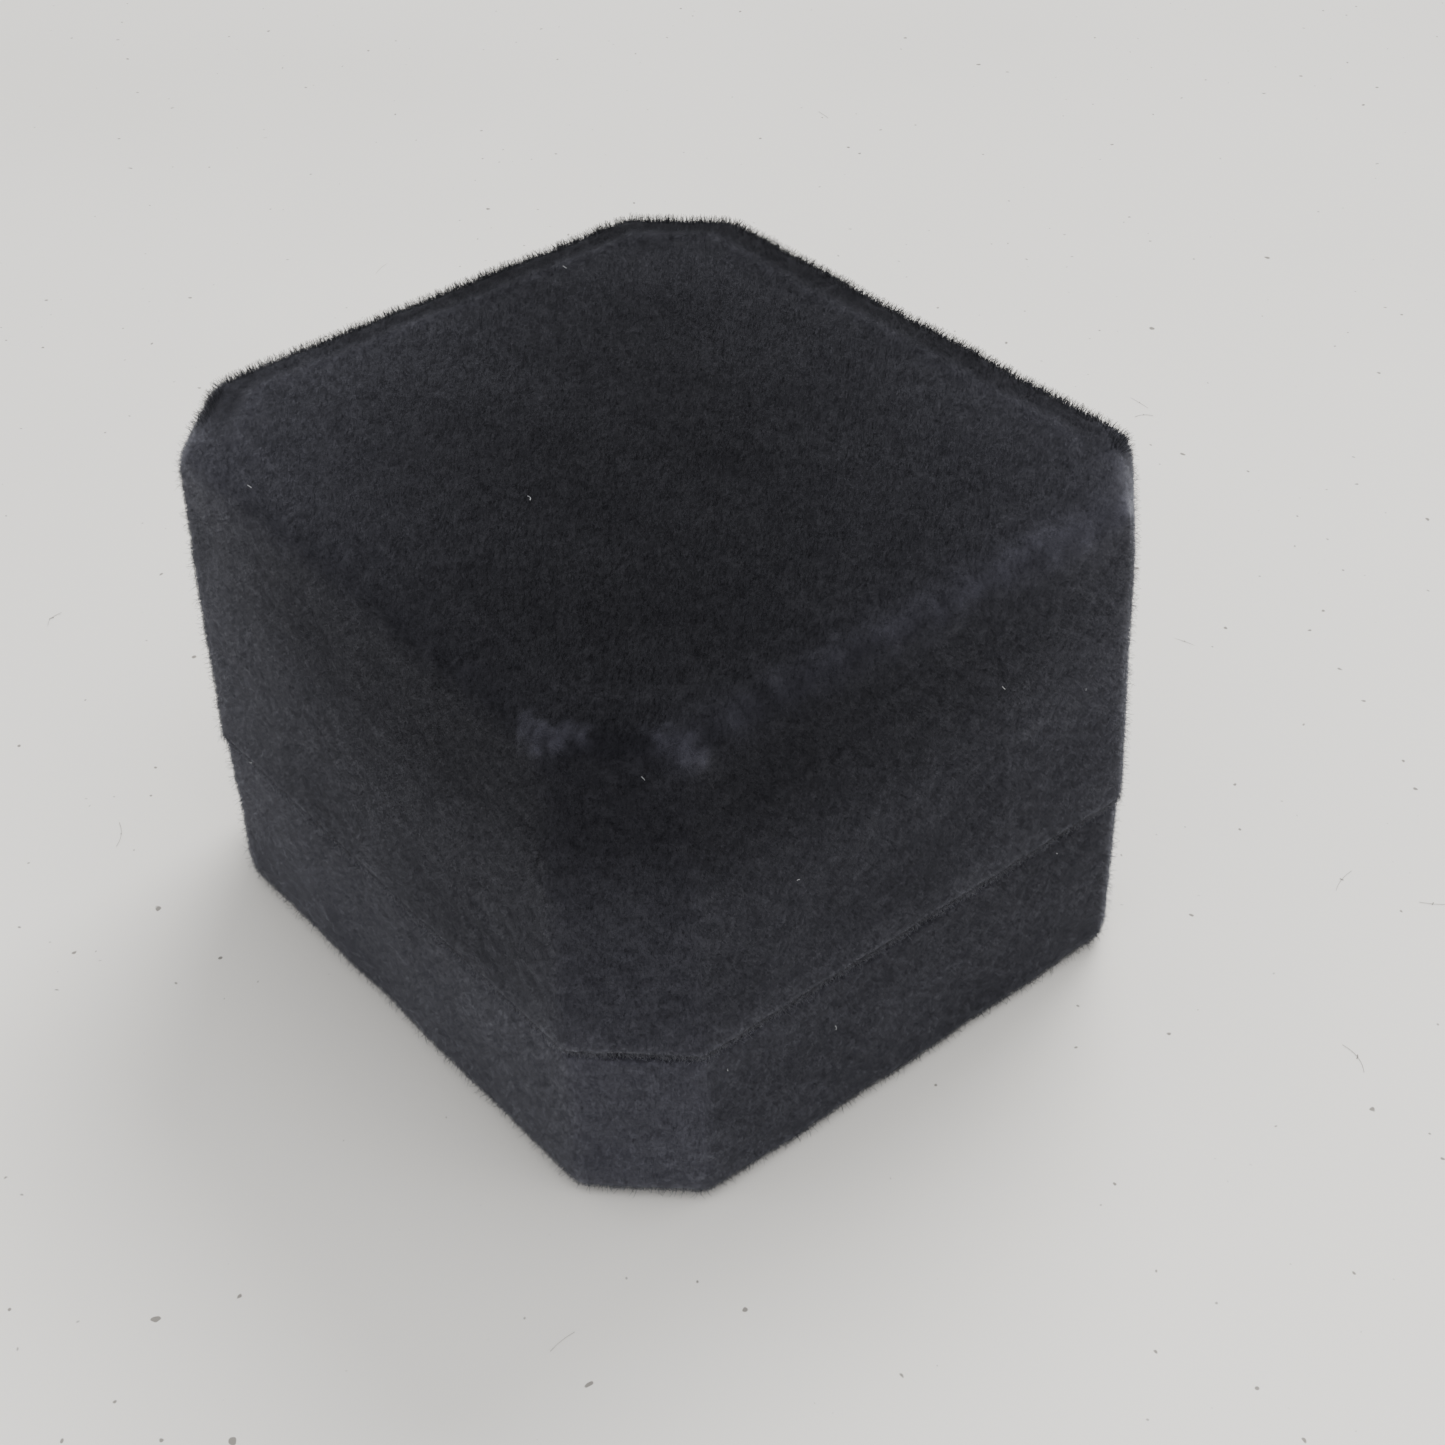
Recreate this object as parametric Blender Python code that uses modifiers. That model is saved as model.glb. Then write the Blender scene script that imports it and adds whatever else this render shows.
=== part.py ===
"""Velvet ring box with cut corners, a tall lid and a spring hinge.

Frame: metres, +Z up. The origin is the centre of the underside. +X is the opening side,
-X is the hinge side, and Y runs along the hinge pin. The box is modelled closed.
"""

import math

import bmesh
import bpy
from mathutils import Matrix

# ---- driving dimensions -------------------------------------------------------------------

BASE_LENGTH = 0.060          # along X, over the velvet
BASE_WIDTH = 0.055           # along Y, over the velvet
HEIGHT = 0.043               # closed box, over the velvet
CORNER_CUT = 0.0070          # each upright corner is cut off at 45 degrees by this much
SEAM_HEIGHT = 0.0150         # middle of the joint between the base and the lid
SEAM_GAP = 0.0003            # daylight between the two rims

VELVET = 0.0009              # backing cloth and pile together
SHELL_WALL = 0.0015          # moulded plastic
CARD = 0.0009                # stiff card
GAP = 0.0003                 # between pieces that rest on each other
FIT = 0.00005                # radial clearance of pins and rivets

LID_OVERHANG = 0.00025       # the lid stands proud of the base all round
LID_DRAFT = 0.0007           # each lid wall leans in by this much at the top
LID_EDGE_RADIUS = 0.0020
BASE_EDGE_RADIUS = 0.0012
SHELL_EDGE_CUT = 0.0010      # the shells' outer edge is chamfered under the rounded velvet

FLANGE_WIDTH = 0.0060        # velvet turned in under the base
HINGE_BAY = 0.0078           # outer back face to the liner's back wall
LINER_WALL = 0.0010
LINER_RISE = 0.0012          # the liner stands above the seam and locates the lid
LINER_INSET = VELVET + GAP + SHELL_WALL + GAP

AXIS_INSET = 0.0015          # hinge axis, in from the base's back face
AXIS_X = -BASE_LENGTH / 2 + AXIS_INSET
HINGE_LENGTH = 0.030
KNUCKLE_COUNT = 5
KNUCKLE_RADIUS = 0.00115
PIN_RADIUS = 0.0006
LEAF_SHEET = 0.0005
LEAF_HEIGHT = 0.0100         # from the axis to the far end of a leaf
LEAF_FACE = 0.0015           # from the axis to the leaf's shell side
BACK_BEVEL = math.radians(52)  # slope of the two back rims: together they set the opening
RIVET_RADIUS = 0.0008
RIVET_HEAD_RADIUS = 0.0015
RIVET_SPACING = 0.0190
RIVET_DROP = 0.0068          # from the axis to a rivet
SPRING_TAB_DROP = 0.0029     # from the axis to the middle of a spring tab
SPRING_SHEET = 0.00035
SPRING_WIDTH = 0.0050
SPRING_BULGE = 0.0024        # from the tabs' tips to the crown of the spring

PAD_SLOT = 0.0020            # the ring is pushed into this slot
PAD_TOP = 0.0146
PAD_EDGE_RADIUS = 0.0026
PAD_VELVET = 0.0007
LID_PAD_THICKNESS = 0.0042
LID_SATIN = 0.0005
LID_STRIP_WALL = 0.0009

HALF_L = BASE_LENGTH / 2
HALF_W = BASE_WIDTH / 2
BASE_RIM = SEAM_HEIGHT - SEAM_GAP / 2
LID_RIM = SEAM_HEIGHT + SEAM_GAP / 2
SHELL_FLOOR = VELVET + GAP
LINER_BACK = -HALF_L + HINGE_BAY
LINER_FRONT = HALF_L - LINER_INSET
LINER_SIDE = HALF_W - LINER_INSET
INNER_BACK_CUT = 0.0020      # small corner cut beside the hinge bay and beside the ring slot

# ---- scene and materials ------------------------------------------------------------------


def clear_scene():
    for old in list(bpy.data.objects):
        bpy.data.objects.remove(old, do_unlink=True)


def new_collection(name):
    collection = bpy.data.collections.new(name)
    bpy.context.scene.collection.children.link(collection)
    return collection


def make_material(name, color, roughness, metallic=0.0):
    material = bpy.data.materials.new(name)
    material.use_nodes = True
    shader = material.node_tree.nodes["Principled BSDF"]
    shader.inputs["Base Color"].default_value = (*color, 1.0)
    shader.inputs["Roughness"].default_value = roughness
    shader.inputs["Metallic"].default_value = metallic
    material.diffuse_color = (*color, 1.0)
    return material


def add_object(name, mesh, collection, color=None, roughness=0.6, metallic=0.0):
    thing = bpy.data.objects.new(name, mesh)
    collection.objects.link(thing)
    if color is not None:
        mesh.materials.append(make_material(name + "_material", color, roughness, metallic))
    return thing


def add_cutter(name, mesh):
    cutter = add_object(name, mesh, cutters)
    cutter.hide_render = True
    cutter.display_type = "WIRE"
    return cutter


def mesh_from(bm, name):
    bmesh.ops.recalc_face_normals(bm, faces=bm.faces)
    mesh = bpy.data.meshes.new(name)
    bm.to_mesh(mesh)
    bm.free()
    return mesh


# ---- shapes -------------------------------------------------------------------------------


def inset_cut(cut, inset):
    """Corner cut left after every wall of a cut-corner outline moves in by inset."""
    return cut - (2 - math.sqrt(2)) * inset


def cut_corner_block(x_span, half_width, z_span, front_cut, back_cut, draft=0.0):
    """A box with its four upright corners cut off; the top is smaller by draft on each side."""
    length = x_span[1] - x_span[0]
    height = z_span[1] - z_span[0]
    middle = ((x_span[0] + x_span[1]) / 2, 0, (z_span[0] + z_span[1]) / 2)
    bm = bmesh.new()
    bmesh.ops.create_cube(bm, size=1.0)
    size = Matrix.Diagonal((length, 2 * half_width, height, 1))
    bmesh.ops.transform(bm, matrix=size, verts=bm.verts)
    for sign, cut in ((1, front_cut), (-1, back_cut)):
        uprights = [
            edge
            for edge in bm.edges
            if abs(edge.verts[0].co.z - edge.verts[1].co.z) > height / 2
            and all(vert.co.x * sign > length / 2 - GAP for vert in edge.verts)
        ]
        bmesh.ops.bevel(bm, geom=uprights, offset=cut, segments=1, affect="EDGES")
    for vert in bm.verts:
        if vert.co.z > 0:
            vert.co.x *= 1 - 2 * draft / length
            vert.co.y *= 1 - draft / half_width
    bmesh.ops.translate(bm, verts=bm.verts, vec=middle)
    return bm


def edges_at(bm, z):
    return [edge for edge in bm.edges if all(abs(vert.co.z - z) < FIT for vert in edge.verts)]


def face_at(bm, z):
    return next(
        face for face in bm.faces if all(abs(vert.co.z - z) < FIT for vert in face.verts)
    )


def round_edges(bm, z, radius, segments):
    bmesh.ops.bevel(bm, geom=edges_at(bm, z), offset=radius, segments=segments, profile=0.5,
                    affect="EDGES")


def open_at(bm, z):
    bmesh.ops.delete(bm, geom=[face_at(bm, z)], context="FACES")


def add_wall(thing, thickness):
    """Turns the open outer surface into a wall that grows inwards."""
    wall = thing.modifiers.new("wall", "SOLIDIFY")
    wall.thickness = thickness
    wall.offset = -1
    wall.use_even_offset = True


def cut_with(thing, *tools):
    for tool in tools:
        cut = thing.modifiers.new("cut_" + tool.name, "BOOLEAN")
        cut.operation = "DIFFERENCE"
        cut.object = tool


def shade_round(mesh):
    mesh.shade_smooth()
    mesh.set_sharp_from_angle(angle=math.radians(35))


def cylinder_mesh(name, radius, length, axis, segments=24):
    bm = bmesh.new()
    bmesh.ops.create_cone(bm, cap_ends=True, segments=segments, radius1=radius,
                          radius2=radius, depth=length)
    turn = Matrix.Rotation(math.pi / 2, 4, "Y" if axis == "X" else "X")
    bmesh.ops.transform(bm, matrix=turn, verts=bm.verts)
    mesh = mesh_from(bm, name)
    shade_round(mesh)
    return mesh


def box_mesh(name, low, high):
    bm = bmesh.new()
    bmesh.ops.create_cube(bm, size=1.0)
    size = [high[i] - low[i] for i in range(3)]
    bmesh.ops.scale(bm, verts=bm.verts, vec=size)
    bmesh.ops.translate(bm, verts=bm.verts, vec=[(low[i] + high[i]) / 2 for i in range(3)])
    return mesh_from(bm, name)


def sheet_across_y(name, outlines, width):
    """A flat outline in X and Z, given width along Y. Later outlines are holes in the first."""
    curve = bpy.data.curves.new(name, "CURVE")
    curve.dimensions = "2D"
    curve.fill_mode = "BOTH"
    curve.extrude = width / 2
    for outline in outlines:
        spline = curve.splines.new("POLY")
        spline.points.add(len(outline) - 1)
        for point, (x, z) in zip(spline.points, outline):
            point.co = (x, z, 0, 1)
        spline.use_cyclic_u = True
    flat = bpy.data.objects.new(name, curve)
    bpy.context.scene.collection.objects.link(flat)
    flat.rotation_euler.x = math.pi / 2
    bpy.context.view_layer.update()
    ready = flat.evaluated_get(bpy.context.evaluated_depsgraph_get())
    mesh = bpy.data.meshes.new_from_object(ready)
    mesh.transform(flat.matrix_world)
    bpy.data.objects.remove(flat, do_unlink=True)
    bm = bmesh.new()
    bm.from_mesh(mesh)
    bmesh.ops.remove_doubles(bm, verts=bm.verts, dist=1e-6)
    bmesh.ops.recalc_face_normals(bm, faces=bm.faces)
    bm.to_mesh(mesh)
    bm.free()
    mesh.name = name
    mesh.materials.clear()
    return mesh


def circle(radius, start=0.0, end=360.0, steps=24):
    """Points about the hinge axis, counted anticlockwise from +X towards +Z."""
    angles = [math.radians(start + (end - start) * i / steps) for i in range(steps + 1)]
    if abs(end - start) >= 360:
        angles.pop()
    return [(radius * math.cos(a), radius * math.sin(a)) for a in angles]


def about_axis(outline, flip=1):
    """Moves points given from the hinge axis to their place; flip -1 turns them upside down."""
    return [(AXIS_X + x, SEAM_HEIGHT + flip * z) for x, z in outline]


# ---- outer pieces of the base -------------------------------------------------------------


def make_base_velvet():
    """Side wrap with a rounded lower edge, turned in under the base."""
    bm = cut_corner_block((-HALF_L, HALF_L), HALF_W, (0, BASE_RIM), CORNER_CUT, CORNER_CUT)
    open_at(bm, BASE_RIM)
    round_edges(bm, 0, BASE_EDGE_RADIUS, 3)
    floor = face_at(bm, 0)
    bmesh.ops.inset_region(bm, faces=[floor], thickness=FLANGE_WIDTH - BASE_EDGE_RADIUS,
                           use_even_offset=True)
    bmesh.ops.delete(bm, geom=[floor], context="FACES")
    mesh = mesh_from(bm, "base_velvet")
    shade_round(mesh)
    velvet = add_object("base_velvet", mesh, parts, (0.012, 0.013, 0.017), 0.95)
    add_wall(velvet, VELVET)
    cut_with(velvet, back_wedge, hinge_pocket)


def make_base_shell():
    """Moulded tray that everything in the base is fixed to."""
    inset = VELVET + GAP
    cut = inset_cut(CORNER_CUT, inset)
    bm = cut_corner_block((-HALF_L + inset, HALF_L - inset), HALF_W - inset,
                          (SHELL_FLOOR, BASE_RIM), cut, cut)
    round_edges(bm, SHELL_FLOOR, SHELL_EDGE_CUT, 1)
    open_at(bm, BASE_RIM)
    shell = add_object("base_shell", mesh_from(bm, "base_shell"), parts, (0.02, 0.02, 0.022), 0.45)
    add_wall(shell, SHELL_WALL)
    cut_with(shell, back_wedge, hinge_pocket, rivet_holes)


def make_base_bottom_board():
    """Covered card that closes the underside inside the turned-in velvet."""
    inset = FLANGE_WIDTH + GAP
    cut = inset_cut(CORNER_CUT, inset)
    bm = cut_corner_block((-HALF_L + inset, HALF_L - inset), HALF_W - inset, (0, CARD), cut, cut)
    add_object("base_bottom_board", mesh_from(bm, "base_bottom_board"), parts,
               (0.016, 0.017, 0.020), 0.9)


def make_base_liner():
    """Inner frame: holds the pad, hides the shell and locates the lid."""
    floor = SHELL_FLOOR + SHELL_WALL + GAP
    bm = cut_corner_block((LINER_BACK, LINER_FRONT), LINER_SIDE,
                          (floor, SEAM_HEIGHT + LINER_RISE),
                          inset_cut(CORNER_CUT, LINER_INSET), INNER_BACK_CUT)
    open_at(bm, SEAM_HEIGHT + LINER_RISE)
    open_at(bm, floor)
    liner = add_object("base_liner", mesh_from(bm, "base_liner"), parts,
                       (0.014, 0.014, 0.017), 0.85)
    add_wall(liner, LINER_WALL)


# ---- ring pad -----------------------------------------------------------------------------


def pad_span(side):
    """X span of one half of the ring pad: side is +1 at the front and -1 at the back."""
    inner_back = LINER_BACK + LINER_WALL + GAP
    inner_front = LINER_FRONT - LINER_WALL - GAP
    middle = (inner_back + inner_front) / 2
    if side > 0:
        return (middle + PAD_SLOT / 2, inner_front)
    return (inner_back, middle - PAD_SLOT / 2)


def make_pad_card():
    floor = SHELL_FLOOR + SHELL_WALL + GAP
    bm = cut_corner_block((pad_span(-1)[0], pad_span(1)[1]), LINER_SIDE - LINER_WALL - GAP,
                          (floor, floor + CARD),
                          inset_cut(CORNER_CUT, LINER_INSET + LINER_WALL + GAP), INNER_BACK_CUT)
    add_object("pad_card", mesh_from(bm, "pad_card"), parts, (0.45, 0.42, 0.37), 0.9)


def make_pad_half(side, name):
    """One foam roll and the velvet stretched over it, tucked in underneath."""
    low = SHELL_FLOOR + SHELL_WALL + CARD + 2 * GAP
    x_low, x_high = pad_span(side)
    half = LINER_SIDE - LINER_WALL - GAP
    outer_cut = inset_cut(CORNER_CUT, LINER_INSET + LINER_WALL + GAP)
    front_cut = outer_cut if side > 0 else INNER_BACK_CUT
    back_cut = INNER_BACK_CUT
    bm = cut_corner_block((x_low, x_high), half, (low, PAD_TOP), front_cut, back_cut)
    round_edges(bm, PAD_TOP, PAD_EDGE_RADIUS, 3)
    open_at(bm, low)
    mesh = mesh_from(bm, "pad_velvet_" + name)
    shade_round(mesh)
    velvet = add_object("pad_velvet_" + name, mesh, parts, (0.014, 0.014, 0.018), 0.95)
    add_wall(velvet, PAD_VELVET)

    skin = PAD_VELVET + GAP
    bm = cut_corner_block((x_low + skin, x_high - skin), half - skin, (low, PAD_TOP - skin),
                          inset_cut(front_cut, skin), inset_cut(back_cut, skin))
    round_edges(bm, PAD_TOP - skin, PAD_EDGE_RADIUS - skin / 2, 2)
    foam_mesh = mesh_from(bm, "pad_foam_" + name)
    shade_round(foam_mesh)
    add_object("pad_foam_" + name, foam_mesh, parts, (0.10, 0.10, 0.11), 0.95)


# ---- lid ----------------------------------------------------------------------------------


def draft_at(z):
    """How far the lid's walls lean in at this height."""
    return LID_DRAFT * (z - LID_RIM) / (HEIGHT - LID_RIM)


def lid_block(inset, z_low, z_high, back_inset=None):
    """A cut-corner block that follows the lid's leaning walls at a given depth."""
    drop = draft_at(z_low)
    reach = LID_OVERHANG - inset - drop
    back = -HALF_L - LID_OVERHANG + drop + (inset if back_inset is None else back_inset)
    front_cut = inset_cut(CORNER_CUT, inset)
    back_cut = front_cut if back_inset is None else INNER_BACK_CUT
    return cut_corner_block((back, HALF_L + reach), HALF_W + reach, (z_low, z_high),
                            front_cut, back_cut, draft_at(z_high) - drop)


def make_lid_velvet():
    """One cover over the top and the sides, rounded over every top edge."""
    bm = lid_block(0, LID_RIM, HEIGHT)
    round_edges(bm, HEIGHT, LID_EDGE_RADIUS, 4)
    open_at(bm, LID_RIM)
    mesh = mesh_from(bm, "lid_velvet")
    shade_round(mesh)
    velvet = add_object("lid_velvet", mesh, parts, (0.012, 0.013, 0.017), 0.95)
    add_wall(velvet, VELVET)
    cut_with(velvet, back_wedge, hinge_pocket)


def make_lid_shell():
    inset = VELVET + GAP
    top = HEIGHT - inset
    bm = lid_block(inset, LID_RIM, top)
    round_edges(bm, top, SHELL_EDGE_CUT, 1)
    open_at(bm, LID_RIM)
    shell = add_object("lid_shell", mesh_from(bm, "lid_shell"), parts, (0.02, 0.02, 0.022), 0.45)
    add_wall(shell, SHELL_WALL)
    cut_with(shell, back_wedge, hinge_pocket, rivet_holes)


LID_CEILING = HEIGHT - VELVET - GAP - SHELL_WALL
LID_CARD_TOP = LID_CEILING - GAP
LID_PAD_TOP = LID_CARD_TOP - CARD - GAP
LID_STRIP_LOW = SEAM_HEIGHT + LINER_RISE + 2 * GAP


def make_lid_lining_strip():
    """Satin-covered card strip round the inside of the lid, with the hinge bay behind it."""
    bm = lid_block(LINER_INSET, LID_STRIP_LOW, LID_PAD_TOP, HINGE_BAY)
    open_at(bm, LID_PAD_TOP)
    open_at(bm, LID_STRIP_LOW)
    strip = add_object("lid_lining_strip", mesh_from(bm, "lid_lining_strip"), parts,
                       (0.80, 0.78, 0.74), 0.4)
    add_wall(strip, LID_STRIP_WALL)


def make_lid_pad_card():
    bm = lid_block(LINER_INSET, LID_CARD_TOP - CARD, LID_CARD_TOP)
    add_object("lid_pad_card", mesh_from(bm, "lid_pad_card"), parts, (0.45, 0.42, 0.37), 0.9)


def make_lid_pad():
    """Padded satin cushion: a satin cover drawn over a thin sheet of foam."""
    inset = LINER_INSET + LID_STRIP_WALL + GAP
    low = LID_PAD_TOP - LID_PAD_THICKNESS
    bm = lid_block(inset, low, LID_PAD_TOP, HINGE_BAY + LID_STRIP_WALL + GAP)
    round_edges(bm, low, LID_PAD_THICKNESS / 2, 3)
    open_at(bm, LID_PAD_TOP)
    mesh = mesh_from(bm, "lid_satin_cover")
    shade_round(mesh)
    cover = add_object("lid_satin_cover", mesh, parts, (0.82, 0.80, 0.75), 0.35)
    add_wall(cover, LID_SATIN)

    skin = LID_SATIN + GAP
    bm = lid_block(inset + skin, low + skin, LID_PAD_TOP, HINGE_BAY + LID_STRIP_WALL + GAP + skin)
    round_edges(bm, low + skin, LID_PAD_THICKNESS / 2 - skin / 2, 2)
    foam_mesh = mesh_from(bm, "lid_pad_foam")
    shade_round(foam_mesh)
    add_object("lid_pad_foam", foam_mesh, parts, (0.75, 0.73, 0.66), 0.95)


# ---- hinge --------------------------------------------------------------------------------

KNUCKLE_PITCH = HINGE_LENGTH / KNUCKLE_COUNT
SPRING_TAB_REACH = 0.0014    # the tab stands this far off the leaf
LEAF_BACK = LEAF_FACE + LEAF_SHEET
JOG_START = 0.00055          # where the sheet leaves the knuckle, below the axis


def leaf_outlines(side):
    """Section of one leaf: knuckle, 45 degree jog and plate. side is +1 for the lid."""
    bend = LEAF_SHEET * math.tan(math.radians(22.5))
    jog_end = JOG_START + LEAF_BACK - KNUCKLE_RADIUS
    join = math.degrees(math.asin((JOG_START + LEAF_SHEET * 0.63) / KNUCKLE_RADIUS))
    below = [
        *circle(KNUCKLE_RADIUS, 0, 360 - join),
        (LEAF_FACE, -jog_end - bend),
        (LEAF_FACE, -LEAF_HEIGHT),
        (LEAF_BACK, -LEAF_HEIGHT),
        (LEAF_BACK, -jog_end),
        (KNUCKLE_RADIUS, -JOG_START),
    ]
    return [about_axis(below, -side), about_axis(circle(PIN_RADIUS + FIT))]


def knuckle_gaps(side):
    """Boxes that clear the other leaf's knuckles out of this leaf."""
    owned = 0 if side < 0 else 1
    bm = bmesh.new()
    reach = KNUCKLE_RADIUS + GAP
    depth = LEAF_FACE + LEAF_SHEET + GAP
    for i in range(KNUCKLE_COUNT):
        if i % 2 == owned:
            continue
        middle = -HINGE_LENGTH / 2 + (i + 0.5) * KNUCKLE_PITCH
        cube = bmesh.ops.create_cube(bm, size=1.0)["verts"]
        size = (reach + depth, KNUCKLE_PITCH + GAP, 2 * reach + GAP)
        bmesh.ops.scale(bm, verts=cube, vec=size)
        spot = (AXIS_X + (depth - reach) / 2, middle, SEAM_HEIGHT + side * GAP / 2)
        bmesh.ops.translate(bm, verts=cube, vec=spot)
    return add_cutter("knuckle_gaps_lid" if side > 0 else "knuckle_gaps_base",
                      mesh_from(bm, "knuckle_gaps"))


def make_hinge_leaf(side, name):
    """Pressed steel leaf with rolled knuckles, two rivet holes and a tab for the spring."""
    mesh = sheet_across_y(name, leaf_outlines(side), HINGE_LENGTH)
    shade_round(mesh)
    leaf = add_object(name, mesh, parts, (0.62, 0.60, 0.56), 0.32, 1.0)
    cut_with(leaf, knuckle_gaps(side), rivet_holes)
    middle = SEAM_HEIGHT + side * SPRING_TAB_DROP
    low = (AXIS_X + LEAF_FACE + LEAF_SHEET / 2, -SPRING_WIDTH / 2 - GAP, middle - LEAF_SHEET / 2)
    high = (AXIS_X + LEAF_BACK + SPRING_TAB_REACH, SPRING_WIDTH / 2 + GAP,
            middle + LEAF_SHEET / 2)
    tab = add_cutter(name + "_spring_tab", box_mesh(name + "_spring_tab", low, high))
    join = leaf.modifiers.new("spring_tab", "BOOLEAN")
    join.operation = "UNION"
    join.object = tab


def make_hinge_pin():
    length = HINGE_LENGTH + 2 * GAP / 3
    pin = add_object("hinge_pin", cylinder_mesh("hinge_pin", PIN_RADIUS, length, "Y"), parts,
                     (0.66, 0.65, 0.62), 0.25, 1.0)
    pin.location = (AXIS_X, 0, SEAM_HEIGHT)


def make_snap_spring():
    """C-shaped steel strip hooked over the two tabs: it pulls the lid shut, or holds it open."""
    hook = SPRING_TAB_DROP + LEAF_SHEET / 2 + FIT * 2 + SPRING_SHEET / 2
    start = LEAF_BACK + SPRING_TAB_REACH / 4
    centre = LEAF_BACK + SPRING_TAB_REACH
    steps = 20
    outline = []
    for offset in (SPRING_SHEET / 2, -SPRING_SHEET / 2):
        side = [(start, -hook - offset)]
        for i in range(steps + 1):
            angle = -math.pi / 2 + math.pi * i / steps
            side.append((centre + (SPRING_BULGE + offset) * math.cos(angle),
                         (hook + offset) * math.sin(angle)))
        side.append((start, hook + offset))
        outline += side if offset > 0 else side[::-1]
    mesh = sheet_across_y("hinge_snap_spring", [about_axis(outline)], SPRING_WIDTH)
    shade_round(mesh)
    add_object("hinge_snap_spring", mesh, parts, (0.50, 0.50, 0.52), 0.28, 1.0)


def make_rivet(name, y, side):
    """Turned rivet: its domed head lies on the leaf and its shank fills the hole in the shell."""
    under_head = LEAF_BACK + FIT
    shank_end = -0.00025
    dome = 0.00045
    profile = [(0, under_head + dome)]
    for angle in (30, 55, 80):
        turn = math.radians(angle)
        profile.append((RIVET_HEAD_RADIUS * math.sin(turn), under_head + dome * math.cos(turn)))
    profile += [(RIVET_HEAD_RADIUS, under_head), (RIVET_RADIUS, under_head),
                (RIVET_RADIUS, shank_end), (0, shank_end)]
    bm = bmesh.new()
    verts = [bm.verts.new((r, 0, z)) for r, z in profile]
    for first, second in zip(verts, verts[1:]):
        bm.edges.new((first, second))
    mesh = bpy.data.meshes.new(name)
    bm.to_mesh(mesh)
    bm.free()
    rivet = add_object(name, mesh, parts, (0.68, 0.66, 0.60), 0.3, 1.0)
    turn = rivet.modifiers.new("turn", "SCREW")
    turn.angle = math.radians(360)
    turn.steps = 20
    turn.render_steps = 20
    turn.use_merge_vertices = True
    turn.merge_threshold = 0.00001
    turn.use_smooth_shade = True
    rivet.rotation_euler.y = math.pi / 2
    rivet.location = (AXIS_X, y, SEAM_HEIGHT + side * RIVET_DROP)


# ---- cutters ------------------------------------------------------------------------------


def make_back_wedge():
    """The V between the two back rims, which lets the lid swing back."""
    reach = 0.0045
    rise = reach * math.tan(BACK_BEVEL)
    half = SEAM_GAP / 2
    outline = [(0, -half), (0, half), (-reach, half + rise), (-reach, -half - rise)]
    return add_cutter("back_wedge", sheet_across_y("back_wedge", [about_axis(outline)], BASE_WIDTH * 1.2))


def make_hinge_pocket():
    """Room for the knuckles in both back walls."""
    wall_side = LEAF_FACE + GAP / 2
    reach = KNUCKLE_RADIUS + 2 * GAP
    half = HINGE_LENGTH / 2 + GAP
    low = (AXIS_X - AXIS_INSET - LID_OVERHANG - GAP, -half, SEAM_HEIGHT - reach)
    high = (AXIS_X + wall_side, half, SEAM_HEIGHT + reach)
    return add_cutter("hinge_pocket", box_mesh("hinge_pocket", low, high))


def make_rivet_holes():
    bm = bmesh.new()
    for side in (-1, 1):
        for y in (-RIVET_SPACING / 2, RIVET_SPACING / 2):
            made = bmesh.ops.create_cone(bm, cap_ends=True, segments=20, depth=0.008,
                                         radius1=RIVET_RADIUS + FIT, radius2=RIVET_RADIUS + FIT)
            turn = Matrix.Rotation(math.pi / 2, 4, "Y")
            spot = Matrix.Translation((AXIS_X + 0.001, y, SEAM_HEIGHT + side * RIVET_DROP))
            bmesh.ops.transform(bm, matrix=spot @ turn, verts=made["verts"])
    return add_cutter("rivet_holes", mesh_from(bm, "rivet_holes"))


# ---- the box ------------------------------------------------------------------------------

clear_scene()
parts = new_collection("ring_box")
cutters = new_collection("cutters")
back_wedge = make_back_wedge()
hinge_pocket = make_hinge_pocket()
rivet_holes = make_rivet_holes()

make_base_velvet()
make_base_shell()
make_base_bottom_board()
make_base_liner()
make_pad_card()
make_pad_half(1, "front")
make_pad_half(-1, "rear")
make_lid_velvet()
make_lid_shell()
make_lid_lining_strip()
make_lid_pad_card()
make_lid_pad()
make_hinge_leaf(-1, "hinge_leaf_base")
make_hinge_leaf(1, "hinge_leaf_lid")
make_hinge_pin()
make_snap_spring()
for leaf_side, leaf_name in ((-1, "base"), (1, "lid")):
    for spot_name, spot_y in (("left", -RIVET_SPACING / 2), ("right", RIVET_SPACING / 2)):
        make_rivet("rivet_" + leaf_name + "_" + spot_name, spot_y, leaf_side)
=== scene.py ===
"""Looks of the velvet ring box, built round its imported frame.

Units are metres. +X is the opening side, -X the hinge side, Y runs along the hinge pin.
"""

import math

import bmesh
import bpy
import numpy as np
from mathutils import Matrix, Vector


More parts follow.
